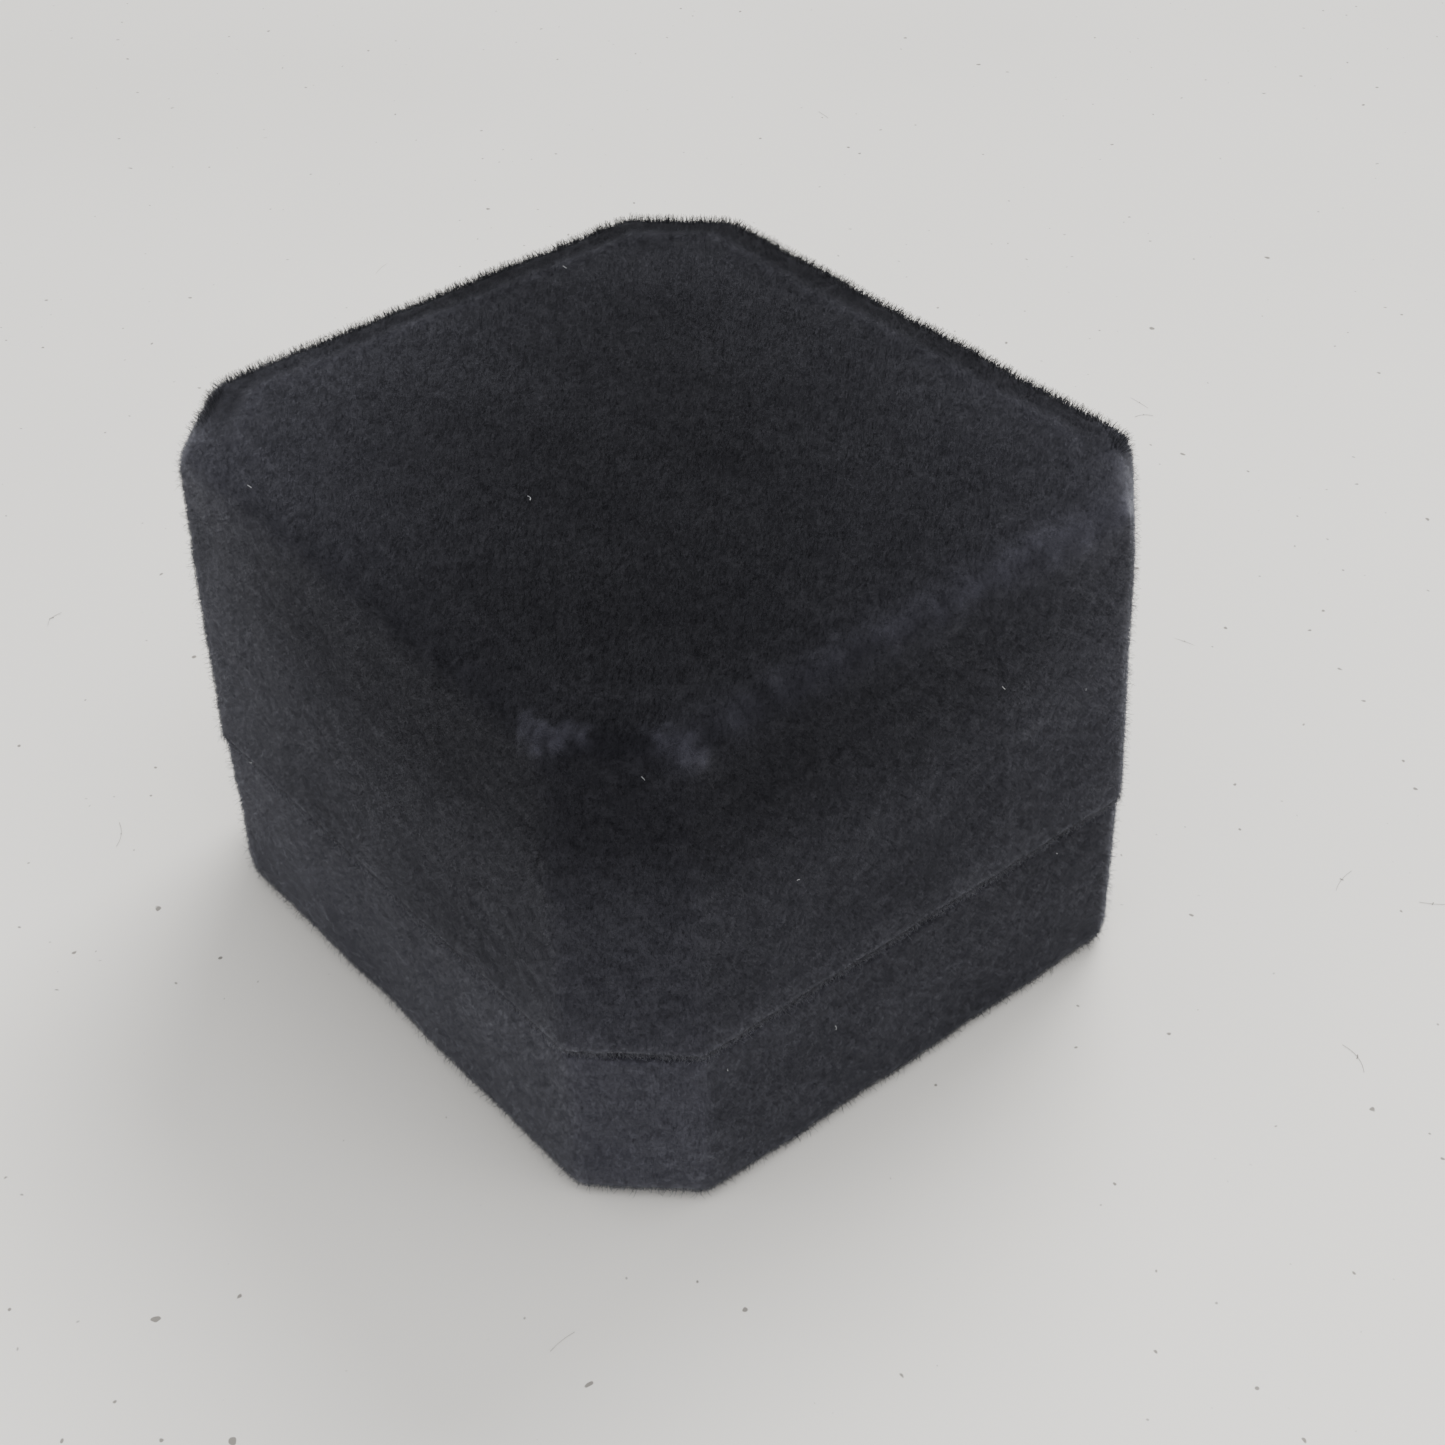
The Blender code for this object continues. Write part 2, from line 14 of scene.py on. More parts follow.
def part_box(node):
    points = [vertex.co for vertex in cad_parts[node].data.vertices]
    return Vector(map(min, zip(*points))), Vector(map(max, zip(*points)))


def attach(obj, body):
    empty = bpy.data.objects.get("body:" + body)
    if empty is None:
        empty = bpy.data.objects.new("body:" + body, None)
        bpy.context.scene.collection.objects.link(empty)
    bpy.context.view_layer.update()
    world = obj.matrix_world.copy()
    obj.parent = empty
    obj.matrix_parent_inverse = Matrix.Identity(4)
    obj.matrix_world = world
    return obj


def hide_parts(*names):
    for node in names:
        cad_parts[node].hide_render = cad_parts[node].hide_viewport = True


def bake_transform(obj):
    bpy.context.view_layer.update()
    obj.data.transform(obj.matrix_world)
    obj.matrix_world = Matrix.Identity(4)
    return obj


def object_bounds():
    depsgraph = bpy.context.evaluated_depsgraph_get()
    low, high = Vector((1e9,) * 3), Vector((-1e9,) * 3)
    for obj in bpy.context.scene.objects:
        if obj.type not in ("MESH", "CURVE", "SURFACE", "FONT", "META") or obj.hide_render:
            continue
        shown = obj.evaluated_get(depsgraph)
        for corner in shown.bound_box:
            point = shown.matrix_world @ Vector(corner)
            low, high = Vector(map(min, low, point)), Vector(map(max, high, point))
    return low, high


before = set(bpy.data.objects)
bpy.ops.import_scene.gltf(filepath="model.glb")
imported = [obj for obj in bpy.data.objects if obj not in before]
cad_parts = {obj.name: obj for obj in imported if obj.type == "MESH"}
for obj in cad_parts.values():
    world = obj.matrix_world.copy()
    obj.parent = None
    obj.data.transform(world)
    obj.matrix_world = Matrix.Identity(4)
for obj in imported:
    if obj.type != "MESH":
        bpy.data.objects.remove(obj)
cad_low, cad_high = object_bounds()

MM = 0.001
CENTRE = (cad_low + cad_high) / 2

# ---- camera -------------------------------------------------------------------------------

CAMERA_AZIMUTH = math.radians(51.85)
CAMERA_ELEVATION = math.radians(38.99)
CAMERA_ROLL = math.radians(-2.15)
CAMERA_DISTANCE = 0.1915
CAMERA_AIM = CENTRE + Vector((0.0050, 0.0018, -0.0036))
CAMERA_LENS = 60.4           # in millimetres, as the sensor's width is
SENSOR_WIDTH = 36

VIEW_RIGHT = Vector((math.cos(CAMERA_AZIMUTH), math.sin(CAMERA_AZIMUTH), 0))
VIEW_BACK = Vector((math.sin(CAMERA_AZIMUTH) * math.cos(CAMERA_ELEVATION),
                    -math.cos(CAMERA_AZIMUTH) * math.cos(CAMERA_ELEVATION),
                    math.sin(CAMERA_ELEVATION)))
VIEW_UP = VIEW_BACK.cross(VIEW_RIGHT)

# ---- velvet -------------------------------------------------------------------------------

SEED = 7
CORNER_CUT = 7.0 * MM
SEAM_HEIGHT = 15.0 * MM
LID_DRAFT = 0.7 * MM         # the lid's top is this much smaller than its lip, on every side
TOP_RADIUS = 2.0 * MM        # the rounding of the lid's top edges
EDGE_DEPTH = 0.3 * TOP_RADIUS  # the middle of that rounding lies this deep inside the corner

VELVET_VOXEL = 0.44 * MM     # grain of the remeshed covers
COVER_PASSES = 5             # smoothing passes over a whole cover
EDGE_SMOOTHING = 14          # extra passes that round the covers' upright edges
SKIN_INSET = 0.13 * MM       # the woven skin lies this far inside the tips of the pile
SAG = (0.06 * MM, 9 * MM)    # unevenness of the cloth: height, and size across
TUFTS = (0.03 * MM, 1.8 * MM)

SPARSE = 1.0
# Kinds of pile: length, fibre radius, fibres per square millimetre, sideways lean, and how far
# the fibres are brushed upwards (downwards where negative).
FINE_PILE = (0.25 * MM, 0.0090 * MM, 85 * SPARSE, 0.75, -0.25)
LONG_PILE = (0.70 * MM, 0.0140 * MM, 4 * SPARSE, 0.45, -0.10)
RIM_PILE = (0.70 * MM, 0.0190 * MM, 26 * SPARSE, 0.25, 0.0)
LID_LIP_PILE = (0.42 * MM, 0.0110 * MM, 70 * SPARSE, 0.75, -1.1)
BASE_LIP_PILE = (0.36 * MM, 0.0110 * MM, 70 * SPARSE, 0.75, 0.9)
SHORT_FLOCK = (0.26 * MM, 0.0110 * MM, 34 * SPARSE, 0.75, -0.25)
PAD_PILE = (0.40 * MM, 0.0110 * MM, 40 * SPARSE, 0.75, -0.25)
PILE_POINTS = 3
PILE_COMB = (0.15, -0.05)    # which way the pile is brushed along X and Y
PILE_SCATTER = 0.8
PILE_LENGTHS = (0.55, 1.1)   # share of the full length
PILE_TAPER = 0.6
CRUSHED_LEAN = 1.4           # crushed fibres lean this much further
CRUSHED_LENGTH = 0.35        # and stand this much lower
WORN_AND_SHEEN_GAIN = 3.0              # how much lighter the skin is under crushed pile and under painted highlights
WEAR_AND_SHEEN_LIFT = 3.0              # how much lighter crushed pile and painted highlights look
LINT_POINTS = 6
SHEEN_TINT = (0.86, 0.89, 1.0, 1)

# ---- soft parts ---------------------------------------------------------------------------

SIM_SCALE = 20               # cloth is simulated this many times larger, where it behaves
SIM_FRAMES = 20
PAD_CLOTH = 0.85 * MM        # the pads' velvet stands this far off their foam
SATIN_CLOTH = 0.55 * MM      # and the satin this far off its foam
PAD_RISE = 0.55 * MM         # how far the ring pads may swell upwards
PAD_SLOT_SWELL = 0.85 * MM   # and towards each other, over the ring slot
SATIN_SWELL = 0.85 * MM      # how far the lid's cushion may swell
BAG_VOXEL = 0.80 * MM
PAD_PRESSURE = 4.0
SATIN_PRESSURE = 5.0
PAD_TUCK = 1.5 * MM          # the pads' lowest part is tucked in and doesn't swell
SATIN_TUCK = 0.8 * MM        # nor does the cushion's uppermost part
PILE_SETBACK = 0.15 * MM     # the pads' woven skin lies this far inside their pile
FOAM_SHRINK = 0.32 * MM      # foam keeps this far inside its cloth
FINE_VOXEL = 0.36 * MM       # grain of the thin walls
PAD_SHADE = 0.9
PILE_FROM = 11.5 * MM        # no fibres grow on the pads and the liner below this height


# ---- small helpers ------------------------------------------------------------------------

NOISE_WAVES = 14
NOISE_PITCHES = (0.7, 1.6)   # the waves' lengths, as shares of the wanted size
WELD_REACH = 0.5e-6
TINY = 1e-9                  # keeps a divisor off zero


def link(thing):
    bpy.context.scene.collection.objects.link(thing)
    return thing


def evaluated_mesh(thing):
    """The object's mesh with its modifiers applied, as a new mesh."""
    bpy.context.view_layer.update()
    ready = thing.evaluated_get(bpy.context.evaluated_depsgraph_get())
    return bpy.data.meshes.new_from_object(ready)


def apply_modifiers(thing):
    mesh = evaluated_mesh(thing)
    thing.modifiers.clear()
    thing.data = mesh
    return thing


def points_of(mesh):
    flat = np.empty(len(mesh.vertices) * 3, np.float32)
    mesh.vertices.foreach_get("co", flat)
    return flat.reshape(-1, 3).astype(float)


def normals_of(mesh):
    flat = np.empty(len(mesh.vertices) * 3, np.float32)
    mesh.vertex_normals.foreach_get("vector", flat)
    return flat.reshape(-1, 3).astype(float)


def set_points(mesh, points):
    mesh.vertices.foreach_set("co", points.astype(np.float32).ravel())
    mesh.update()


def set_value(mesh, name, values):
    """Stores one number a point, for a material to read."""
    attribute = mesh.attributes.new(name, "FLOAT", "POINT")
    attribute.data.foreach_set("value", values.astype(np.float32))


def welded_copy(node, name):
    """A CAD node's mesh as a new object whose split edges are closed again."""
    bm = bmesh.new()
    bm.from_mesh(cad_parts[node].data)
    bmesh.ops.remove_doubles(bm, verts=bm.verts, dist=WELD_REACH)
    bmesh.ops.recalc_face_normals(bm, faces=bm.faces)
    mesh = bpy.data.meshes.new(name)
    bm.to_mesh(mesh)
    bm.free()
    return link(bpy.data.objects.new(name, mesh))


def place(piece, body, slot, material, *nodes):
    """Puts a finished piece on its body, in its finish, in place of the CAD nodes it stands for."""
    piece.data.materials.clear()
    piece.data.materials.append(material)
    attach(piece, body)
    if nodes:
        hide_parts(*nodes)
    return piece


def bell(distance, width):
    """1 in the middle, falling softly to 0 beyond the width."""
    return np.exp(-(distance / width)**2)


def smooth_noise(points, size, seed):
    """Soft noise from -1 to 1 with features of about the given size: a sum of random waves."""
    rng = np.random.default_rng(seed)
    total = np.zeros(len(points))
    for _ in range(NOISE_WAVES):
        direction = rng.normal(size=3)
        direction /= np.linalg.norm(direction)
        pitch = size * rng.uniform(*NOISE_PITCHES)
        phase = rng.uniform(0, 2 * math.pi)
        total += np.sin(points @ direction * (2 * math.pi / pitch) + phase)
    return total / math.sqrt(NOISE_WAVES)


# ---- material nodes -----------------------------------------------------------------------


class Nodes:
    """A material's node tree with short ways to add and join nodes."""

    def __init__(self, name):
        self.material = bpy.data.materials.new(name)
        self.material.use_nodes = True
        self.tree = self.material.node_tree
        self.shader = self.tree.nodes["Principled BSDF"]
        self.place = self.tree.nodes.new("ShaderNodeTexCoord").outputs["Object"]

    def new(self, kind, inputs=None, **settings):
        node = self.tree.nodes.new(kind)
        for key, value in settings.items():
            setattr(node, key, value)
        for key, value in (inputs or {}).items():
            self.put(node.inputs[key], value)
        return node

    def put(self, socket, value):
        if isinstance(value, bpy.types.NodeSocket):
            self.tree.links.new(value, socket)
        else:
            socket.default_value = value

    def set(self, **inputs):
        for key, value in inputs.items():
            self.put(self.shader.inputs[key.replace("_", " ")], value)

    def noise(self, size, detail=3.0, rough=0.55, vector=None):
        """Noise whose features are about size metres across."""
        return self.new("ShaderNodeTexNoise", {
            "Vector": vector or self.place, "Scale": 1 / size, "Detail": detail,
            "Roughness": rough}).outputs["Fac"]

    def stretched(self, x, y, z):
        """The object's coordinates, stretched along its axes."""
        return self.new("ShaderNodeMapping", {
            "Vector": self.place, "Scale": (1 / x, 1 / y, 1 / z)}).outputs["Vector"]

    def math(self, operation, a, b=0.0):
        return self.new("ShaderNodeMath", {0: a, 1: b}, operation=operation).outputs[0]

    def remap(self, value, from_low, from_high, to_low, to_high):
        return self.new("ShaderNodeMapRange", {
            "Value": value, "From Min": from_low, "From Max": from_high,
            "To Min": to_low, "To Max": to_high}).outputs["Result"]

    def ramp(self, value, low, high, color_low, color_high):
        node = self.new("ShaderNodeValToRGB", {"Fac": value})
        first, second = node.color_ramp.elements
        first.position, second.position = low, high
        first.color, second.color = (*color_low, 1), (*color_high, 1)
        return node.outputs["Color"]

    def mix(self, share, a, b):
        node = self.new("ShaderNodeMix", data_type="RGBA")
        self.put(node.inputs[0], share)
        self.put(node.inputs[6], (*a, 1) if isinstance(a, tuple) else a)
        self.put(node.inputs[7], (*b, 1) if isinstance(b, tuple) else b)
        return node.outputs[2]

    def attribute(self, name):
        return self.new("ShaderNodeAttribute", attribute_name=name).outputs["Fac"]

    def bump(self, height, distance, strength=1.0, normal=None):
        inputs = {"Height": height, "Distance": distance, "Strength": strength}
        if normal is not None:
            inputs["Normal"] = normal
        return self.new("ShaderNodeBump", inputs).outputs["Normal"]


def velvet_material(name, dark, light, sheen):
    """Cut pile: mottling painted darker in its hollows, nap patches, and a soft sheen; crushed pile
    and painted highlights show lighter.
    """
    n = Nodes(name)
    grain = n.noise(0.30 * MM, 4)
    clumps = n.noise(1.3 * MM, 3)
    nap = n.noise(14 * MM, 2)
    matted_and_sheen = n.attribute("matted_and_sheen")
    # tone carries the painted light and shade; it scales both the colour and the sheen.
    tone = n.attribute("tone")
    # Random mottling, painted darker where the same noises bump the pile lower: painted shade in
    # its hollows.
    depth = n.math("ADD", n.math("MULTIPLY", grain, 0.6), n.math("MULTIPLY", clumps, 0.4))
    color = n.ramp(depth, 0.34, 0.68, dark, light)
    worn_and_sheen = tuple(WORN_AND_SHEEN_GAIN * c for c in light)
    patch = n.math("MULTIPLY", matted_and_sheen, n.remap(clumps, 0.35, 0.6, 0.35, 1.0))
    shaded = n.new("ShaderNodeVectorMath", {0: n.mix(patch, color, worn_and_sheen), "Scale": tone},
                   operation="SCALE").outputs[0]
    weight = n.math("MULTIPLY", tone, n.remap(nap, 0.3, 0.7, 0.85 * sheen, 1.15 * sheen))
    n.set(Base_Color=shaded, Roughness=0.95, Specular_IOR_Level=0.10,
          Sheen_Weight=weight, Sheen_Roughness=0.5, Sheen_Tint=SHEEN_TINT)
    fine = n.bump(grain, 0.06 * MM, 0.6)
    n.set(Normal=n.bump(clumps, 0.10 * MM, 0.5, fine))
    return n.material


def pile_material(name, color, sheen):
    """The fibres: lit as the cloth they stand on is, so that only their shadows set them apart."""
    n = Nodes(name)
    by_strand = n.new("ShaderNodeHairInfo").outputs["Random"]
    # tone carries the cover's painted light and shade onto the fibres.
    tone = n.attribute("tone")
    shade = n.math("MULTIPLY", tone, n.remap(by_strand, 0, 1, 0.93, 1.07))
    tinted = n.new("ShaderNodeVectorMath", {0: (*color,), "Scale": shade}, operation="SCALE")
    facing = n.new("ShaderNodeAttribute", attribute_name="facing").outputs["Vector"]
    turned = n.new("ShaderNodeVectorTransform", {"Vector": facing}, vector_type="NORMAL",
                   convert_from="OBJECT", convert_to="WORLD").outputs["Vector"]
    n.set(Base_Color=tinted.outputs[0], Roughness=0.95, Specular_IOR_Level=0.08,
          Sheen_Weight=n.math("MULTIPLY", tone, sheen), Sheen_Roughness=0.5,
          Sheen_Tint=SHEEN_TINT, Normal=turned)
    return n.material


def satin_material(name, shade, light):
    """Satin: a fine weave with long floats that stretch its highlights sideways."""
    n = Nodes(name)
    floats = n.noise(1.0, 2, 0.5, n.stretched(1.4 * MM, 0.10 * MM, 0.10 * MM))
    weave = n.noise(1.0, 1, 0.5, n.stretched(0.16 * MM, 0.16 * MM, 0.16 * MM))
    cloud = n.noise(11 * MM, 2)
    color = n.ramp(cloud, 0.3, 0.7, shade, light)
    n.set(Base_Color=color, Roughness=n.remap(floats, 0.3, 0.7, 0.27, 0.36), Anisotropic=0.5,
          Specular_IOR_Level=0.75, Sheen_Weight=0.15, Sheen_Roughness=0.35)
    thread = n.bump(floats, 0.004 * MM, 0.3)
    n.set(Normal=n.bump(weave, 0.003 * MM, 0.3, thread))
    return n.material


def foam_material(name, dark, light):
    n = Nodes(name)
    cells = n.new("ShaderNodeTexVoronoi", {"Vector": n.place, "Scale": 1 / (0.5 * MM)})
    distance = cells.outputs["Distance"]
    # Painted shade: the cells' pits, where the bump is lowest, are coloured darker.
    n.set(Base_Color=n.ramp(distance, 0.1, 0.8, dark, light), Roughness=0.95,
          Specular_IOR_Level=0.1, Normal=n.bump(distance, 0.15 * MM, 0.7))
    return n.material


def card_material(name, dark, light):
    """Pressed paper board with short fibres."""
    n = Nodes(name)
    fibre = n.noise(1.0, 4, 0.6, n.stretched(1.5 * MM, 0.3 * MM, 0.6 * MM))
    grain = n.noise(0.35 * MM, 3)
    n.set(Base_Color=n.ramp(fibre, 0.3, 0.7, dark, light), Specular_IOR_Level=0.25,
          Roughness=n.remap(grain, 0.3, 0.7, 0.75, 0.95), Normal=n.bump(grain, 0.05 * MM, 0.6))
    return n.material


def plastic_material(name, dark, light):
    """Moulded plastic with a fine spark-eroded grain."""
    n = Nodes(name)
    grain = n.noise(0.22 * MM, 3)
    flow = n.noise(9 * MM, 2)
    n.set(Base_Color=n.ramp(flow, 0.3, 0.7, dark, light), Specular_IOR_Level=0.45,
          Roughness=n.remap(grain, 0.3, 0.7, 0.38, 0.58), Normal=n.bump(grain, 0.02 * MM, 0.6))
    return n.material


def steel_material(name, dark, light, x, y, z):
    """Plated steel with rolling marks drawn out along one direction, and a little tarnish."""
    n = Nodes(name)
    marks = n.noise(1.0, 3, 0.6, n.stretched(x, y, z))
    tarnish = n.noise(2.4 * MM, 4)
    shade = n.ramp(tarnish, 0.36, 0.62, dark, light)
    rough = n.math("ADD", n.remap(marks, 0.3, 0.7, 0.20, 0.34),
                   n.remap(tarnish, 0.3, 0.6, 0.12, 0.0))
    n.set(Base_Color=shade, Metallic=1.0, Roughness=rough,
          Normal=n.bump(marks, 0.01 * MM, 0.4))
    return n.material


# ---- velvet covers ------------------------------------------------------------------------


def remeshed(piece, voxel, smoothing):
    grid = piece.modifiers.new("grid", "REMESH")
    grid.mode = "VOXEL"
    grid.voxel_size = voxel
    grid.use_smooth_shade = True
    return smoothed(apply_modifiers(piece), smoothing)


def smoothed(piece, iterations, where=None):
    """Relaxes a mesh; where is a share for each point, or None for all of it."""
    soft = piece.modifiers.new("soft", "SMOOTH")
    soft.factor = 0.5
    soft.iterations = iterations
    if where is not None:
        group = piece.vertex_groups.new(name="soft")
        for index, share in enumerate(where):
            if share > 0:
                group.add([index], float(share), "REPLACE")
        soft.vertex_group = "soft"
    apply_modifiers(piece)
    piece.vertex_groups.clear()
    return piece


def is_outside(points, normals, centre):
    """True where a wall faces away from the middle of the box."""
    return ((points - centre) * normals).sum(1) > 0


def top_edges(node):
    """The lid's top edges as (middle of the rounding, along, half length, towards the inside)."""
    low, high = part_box(node)
    hx = (high.x - low.x) / 2 - LID_DRAFT
    hy = (high.y - low.y) / 2 - LID_DRAFT
    z = high.z - EDGE_DEPTH
    edges = {}
    for name, x, y in (("front", 1, 0), ("hinge", -1, 0), ("left", 0, -1), ("right", 0, 1)):
        middle = np.array((x * (hx - EDGE_DEPTH), y * (hy - EDGE_DEPTH), z))
        along = np.array((abs(y), abs(x), 0.0))
        half = (hy if x else hx) - CORNER_CUT
        edges[name] = (middle, along, half)
    for name, x, y in (("front_left", 1, -1), ("front_right", 1, 1),
                       ("hinge_left", -1, -1), ("hinge_right", -1, 1)):
        reach = CORNER_CUT / 2 + EDGE_DEPTH / math.sqrt(2)
        middle = np.array((x * (hx - reach), y * (hy - reach), z))
        along = np.array((x, -y, 0.0)) / math.sqrt(2)
        edges[name] = (middle, along, CORNER_CUT / math.sqrt(2))
    return edges


def distance_to_edge(points, edge):
    middle, along, half = edge
    step = np.clip((points - middle) @ along, -half, half)
    return np.linalg.norm(points - middle - step[:, None] * along, axis=1)


# Wear with painted highlights along the lid's top edges, each edge's strength; the front edges'
# bands are partly painted sheen.
EDGE_WEAR_AND_SHEEN = {"front": 0.50, "left": 0.08, "front_left": 0.0, "hinge": 0.0, "right": 0.05,
             "front_right": 0.30, "hinge_left": 0.10, "hinge_right": 0.0}
EDGE_REACH = 1.9 * MM
# Streaks at the corners, partly crushed pile and partly painted highlights of small creases: top
# edge, which end of it, strength, how far past that end the streak sits, and how much it climbs
# along the edge.
CORNER_WEAR_AND_HIGHLIGHTS = (("front_left", 1, 1.1, -1.1 * MM, -0.7), ("front_left", -1, 1.15, -0.7 * MM, 0.3),
               ("left", 1, 1.15, 0.2 * MM, 0.0), ("front_right", 1, 0.22, -1.0 * MM, 0.0),
               ("front_right", -1, 0.16, -1.0 * MM, 0.0), ("hinge_left", 1, 0.20, -1.0 * MM, 0.0),
               ("hinge_left", -1, 0.22, -1.0 * MM, 0.0))
CORNER_REACH = 1.20 * MM
CORNER_STREAK = 2.1 * MM     # half the length of the crushed streak at a corner
STREAK_CORE = 1.35           # a streak's middle is fully crushed, and
STREAK_EDGE = 0.35           # its outline is cut off at this level
WEAR_PATCHES = (0.8, 0.35, 2.6 * MM)  # mean, variation and size of the patches in the wear and painted highlights
RAGGED_EDGE = (0.42, 0.9 * MM)        # variation and size along a streak's outline
CREST_INSET = 4.0 * MM       # the padded top's crest runs this far inside its outline
# A painted highlight line along the crest: its width, its strength, and the strength added along
# the far edges.
CREST_WIDTH = 0.80 * MM
CREST_HIGHLIGHT = 0.05
FAR_CREST_HIGHLIGHT = 0.09        # added along the far edges


def lid_wear_and_sheen(points):
    """How crushed the pile is, with painted highlights, from 0 to 1: along the top edges, most at
    their corners, and a painted highlight line along the crest.
    """
    edges = top_edges("lid_velvet")
    mean, variation, size = WEAR_PATCHES
    patchy = mean + variation * smooth_noise(points, size, SEED + 20)
    roughness, size = RAGGED_EDGE
    ragged = roughness * smooth_noise(points, size, SEED + 21)
    worn_and_sheen = np.zeros(len(points))
    for name, strength in EDGE_WEAR_AND_SHEEN.items():
        away = distance_to_edge(points, edges[name])
        worn_and_sheen = np.maximum(worn_and_sheen, strength * bell(away, EDGE_REACH) * patchy)
    for name, end, strength, shift, climb in CORNER_WEAR_AND_HIGHLIGHTS:
        middle, along, half = edges[name]
        corner = middle + end * (half + shift) * along
        sloping = along + np.array((0, 0, climb))
        sloping /= np.linalg.norm(sloping)
        away = distance_to_edge(points, (corner, sloping, CORNER_STREAK)) / CORNER_REACH
        core = STREAK_CORE * bell(away, 1)
        outline = ragged * np.exp(-0.5 * away**2)
        streak = np.clip(core + outline - STREAK_EDGE, 0, 1)
        worn_and_sheen = np.maximum(worn_and_sheen, strength * streak)
    # A painted highlight line along the padded top's crest.
    crest = (CREST_HIGHLIGHT + FAR_CREST_HIGHLIGHT * far_edge(points)) * patchy
    crest *= bell(top_inset(points) - CREST_INSET, CREST_WIDTH)
    return np.clip(np.maximum(worn_and_sheen, crest), 0, 1)


PANEL_DROP = 1.2 * MM        # the rounded top edge counts as the top down to this depth
OUTSIDE = -1.0               # the inset given to points below it
FAR_FADE = 6 * MM            # width over which the far edges' looks fade to the near ones'
CREST_RISE = (0.10 * MM, 0.45 * MM)   # height and width
TROUGH_DEPTH = (0.10 * MM, 0.80 * MM)
TROUGH_INSET = 2.6 * MM
PAINTED_EDGE_SHADE = 0.34            # painted shade: how much darker the far edges' outer band is painted
SHADE_FADE = (0.2 * MM, 1.3 * MM)     # where the band ends past the crest, and its soft width
SHADE_DROP = (3.2 * MM, 0.8 * MM)     # how far down the walls it reaches, and its soft width
# Painted light along the seam: strength, height from the seam and width.
LID_LIP_PAINTED_LIGHT = (0.20, 0.2 * MM, 0.55 * MM)
BASE_LIP_PAINTED_LIGHT = (0.45, -0.35 * MM, 0.35 * MM)
LIP_HEIGHT = 1.4 * MM        # the part of each cover that is drawn towards the seam
LID_LIP_DROP = 0.17 * MM
BASE_LIP_RISE = 0.12 * MM


def top_inset(points):
    """How far inside the lid's top outline a point lies; far outside it for lower points."""
    low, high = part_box("lid_velvet")
    hx = (high.x - low.x) / 2 - LID_DRAFT
    hy = (high.y - low.y) / 2 - LID_DRAFT
    x, y, z = abs(points[:, 0]), abs(points[:, 1]), points[:, 2]
    inset = np.minimum(np.minimum(hx - x, hy - y), (hx + hy - CORNER_CUT - x - y) / math.sqrt(2))
    return np.where(z > high.z - PANEL_DROP, inset, OUTSIDE)


def far_edge(points):
    """1 along the hinge side's and the right side's top edges, fading to 0 along the others."""
    far = np.maximum(-points[:, 0], points[:, 1])
    near = np.maximum(points[:, 0], -points[:, 1])
    return np.clip(0.5 + (far - near) / FAR_FADE, 0, 1)


def padded_top(points):
    """The lid's top is a padded panel: a soft crest runs round it, a little inside its edge."""
    inset = top_inset(points)
    rise, rise_width = CREST_RISE
    depth, depth_width = TROUGH_DEPTH
    crest = rise * bell(inset - CREST_INSET, rise_width)
    trough = -depth * bell(inset - TROUGH_INSET, depth_width) * far_edge(points)
    return np.where(inset > OUTSIDE / 2, crest + trough, 0)


def painted_edge_shade(points):
    """Painted shade: a darker band is painted outside the crest along the far edges, and a little
    way down the walls.
    """
    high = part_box("lid_velvet")[1]
    inset = top_inset(points)
    past_crest, inner_fade = SHADE_FADE
    drop, lower_fade = SHADE_DROP
    band = np.clip((CREST_INSET + past_crest - inset) / inner_fade, 0, 1)
    band *= np.clip((points[:, 2] - high.z + drop) / lower_fade, 0, 1)
    return 1 - PAINTED_EDGE_SHADE * band * far_edge(points)


def painted_lip_light(points):
    """Painted light along the seam: a painted highlight on the lid's lip, and the base just below
    it painted lighter against the shade under that lip.
    """
    height = points[:, 2] - SEAM_HEIGHT
    light = np.ones(len(points))
    for strength, middle, width in (LID_LIP_PAINTED_LIGHT, BASE_LIP_PAINTED_LIGHT):
        light += strength * bell(height - middle, width)
    return light


def closing_lips(points):
    """Draws the lips together, so that their pile meets over the seam."""
    height = points[:, 2] - SEAM_HEIGHT
    near = np.clip(1 - abs(height) / LIP_HEIGHT, 0, 1)
    return near * np.where(height > 0, -LID_LIP_DROP, BASE_LIP_RISE)


def no_wear(points):
    return np.zeros(len(points))


# Painted light and shade on the velvet. It is darkest at DARK_SPOT and rises by 1 over
# PAINTED_REACH, seen from the camera's side; it rises less to the right and towards the back. The
# cut corners are painted darker by CORNER_DARKER.
DARK_SPOT = np.array((16.5 * MM, -16 * MM, 43 * MM))
PAINTED_REACH = 31.6 * MM
PAINTED_DARKEST = 0.66
PAINTED_BRIGHTEST = 2.0
LESS_TO_RIGHT = 0.27
LESS_UPWARDS = (0.14, 0.45)  # factors of the rise's direction and of its cube
CORNER_DARKER = 0.10
# Painted light and shade: brightness by the way a wall faces.
TOP_FACING_LIGHT = 0.94
FRONT_FACING_LIGHT = 1.25
SIDE_FACING_LIGHT = 1.30
CORNER_FACING_LIGHT = 0.50
# A lighter band half way up the lid's walls: height, width, strength in front and at the left.
BAND_HEIGHT = 27.5 * MM
BAND_WIDTH = 4.5 * MM
FRONT_BAND = 0.20
LEFT_BAND = 0.12
# Painted light and shade on the base: lighter at the left and at the cut corners, as lit from the
# floor, and darker at the right.
LEFT_FOOT = 0.12
RIGHT_FOOT = 0.20
CORNER_FOOT = 0.40
RIGHT_FOOT_FROM = -20 * MM
RIGHT_FOOT_OVER = 25 * MM
